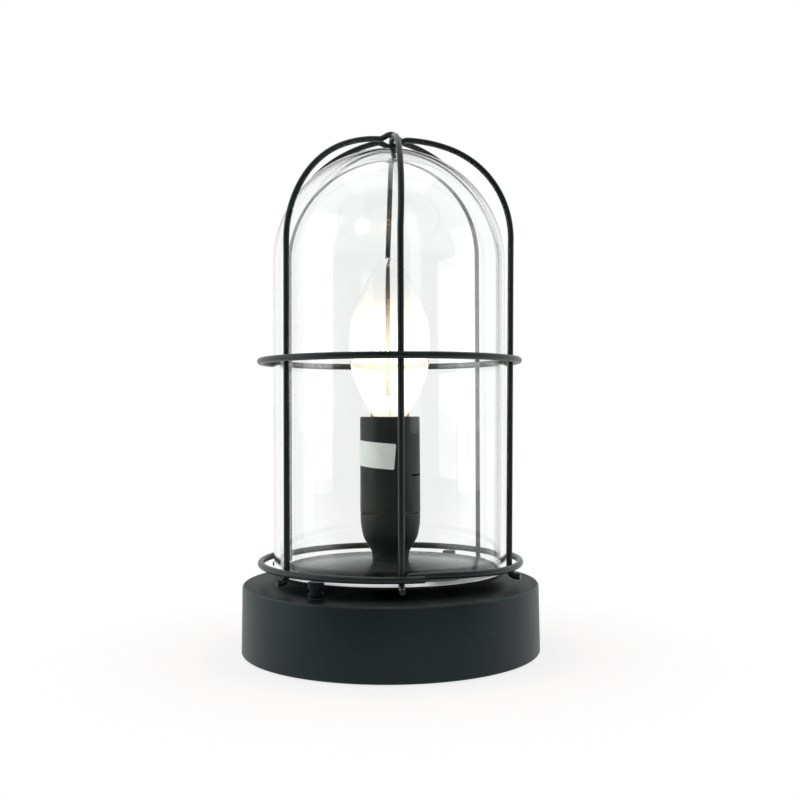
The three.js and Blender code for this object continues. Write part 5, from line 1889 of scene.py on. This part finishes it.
        level = depth.step(*self.BACK_FADE) * (1 - stage.front) + stage.front
        for window, strength in (
            (self.LEFT_WINDOW, stage.left_box),
            (self.STRIP_WINDOW, stage.strip_box),
            (self.RIGHT_WINDOW, stage.right_box),
        ):
            left, right, bottom, top, edge = window
            light = between(bearing, left, right, edge) * between(rise, bottom, top, edge)
            level = level + light * strength
        middle_bearing, middle_rise, full, none = self.BOWL
        aside = bearing - middle_bearing
        above = rise - middle_rise
        far = (aside * aside + above * above) ** 0.5
        level = level + (1 - far.step(full, none)) * stage.bowl
        level = diffuse * (stage.room - level) + level
        level = level.worked("MAXIMUM", camera)
        level = level.worked("MAXIMUM", through * depth.step(*self.GLASS_FADE) * self.GLASS_LEVEL)
        clear = self.straight(finish, rays) * (1 - depth.step(*self.STRAIGHT_FADE))
        level = level.worked("MAXIMUM", clear)
        tone = finish.blend(glossy, (1, 1, 1), (0.988, 1, 0.996))
        back = finish.node("ShaderNodeBackground", None, {"Color": tone, "Strength": level})
        finish.node("ShaderNodeOutputWorld", None, {"Surface": back.outputs[0]})

    def soft_box(self, name, place, size, power):
        """Area light that looks at the middle of the lamp."""
        light = bpy.data.lights.new(name, "AREA")
        light.shape = "RECTANGLE"
        light.size, light.size_y = size
        light.energy = power
        box = bpy.data.objects.new(name, light)
        turn = (Vector(self.AIM) - place).to_track_quat("-Z", "Y").to_matrix().to_4x4()
        box.matrix_world = Matrix.Translation(place) @ turn
        box.visible_camera = False
        box.visible_glossy = False
        bpy.context.scene.collection.objects.link(box)

    def filament_light(self, bulb):
        """Warm light of the hot wire on what stands round it."""
        light = bpy.data.lights.new("filament_light", "POINT")
        light.color = tuple(bulb.glow)
        light.energy = self.FILAMENT_POWER
        light.shadow_soft_size = self.FILAMENT_SIZE
        point = bpy.data.objects.new("filament_light", light)
        point.location = middle("filament")
        point.visible_camera = False
        point.visible_transmission = False
        bpy.context.scene.collection.objects.link(point)


OPERATORS = (
    LAMP_OT_base,
    LAMP_OT_underside,
    LAMP_OT_inlet,
    LAMP_OT_tray,
    LAMP_OT_glass,
    LAMP_OT_cage,
    LAMP_OT_posts,
    LAMP_OT_holder,
    LAMP_OT_label,
    LAMP_OT_workings,
    LAMP_OT_bulb,
    LAMP_OT_filament,
    LAMP_OT_stage,
)


class LAMP_PT_panel(bpy.types.Panel):
    """Lists the lamp's pieces in the sidebar"""

    bl_idname = "LAMP_PT_panel"
    bl_label = "Glass Lamp"
    bl_space_type = "VIEW_3D"
    bl_region_type = "UI"
    bl_category = "Lamp"

    def draw(self, context):
        column = self.layout.column(align=True)
        for operator in OPERATORS:
            column.operator(operator.bl_idname)


GROUPS = (
    BaseSettings,
    TraySettings,
    GlassSettings,
    CageSettings,
    HolderSettings,
    BulbSettings,
    StageSettings,
    LampSettings,
)


def register():
    """Registers the settings, the operators and the panel."""
    for part in (*GROUPS, *OPERATORS, LAMP_PT_panel):
        bpy.utils.register_class(part)
    bpy.types.Scene.glass_lamp = PointerProperty(type=LampSettings)


def unregister():
    """Takes them all away again."""
    del bpy.types.Scene.glass_lamp
    for part in reversed((*GROUPS, *OPERATORS, LAMP_PT_panel)):
        bpy.utils.unregister_class(part)


def main():
    """Builds the lamp and its stage."""
    register()
    for operator in OPERATORS:
        group, name = operator.bl_idname.split(".")
        getattr(getattr(bpy.ops, group), name)()


if __name__ == "__main__":
    main()
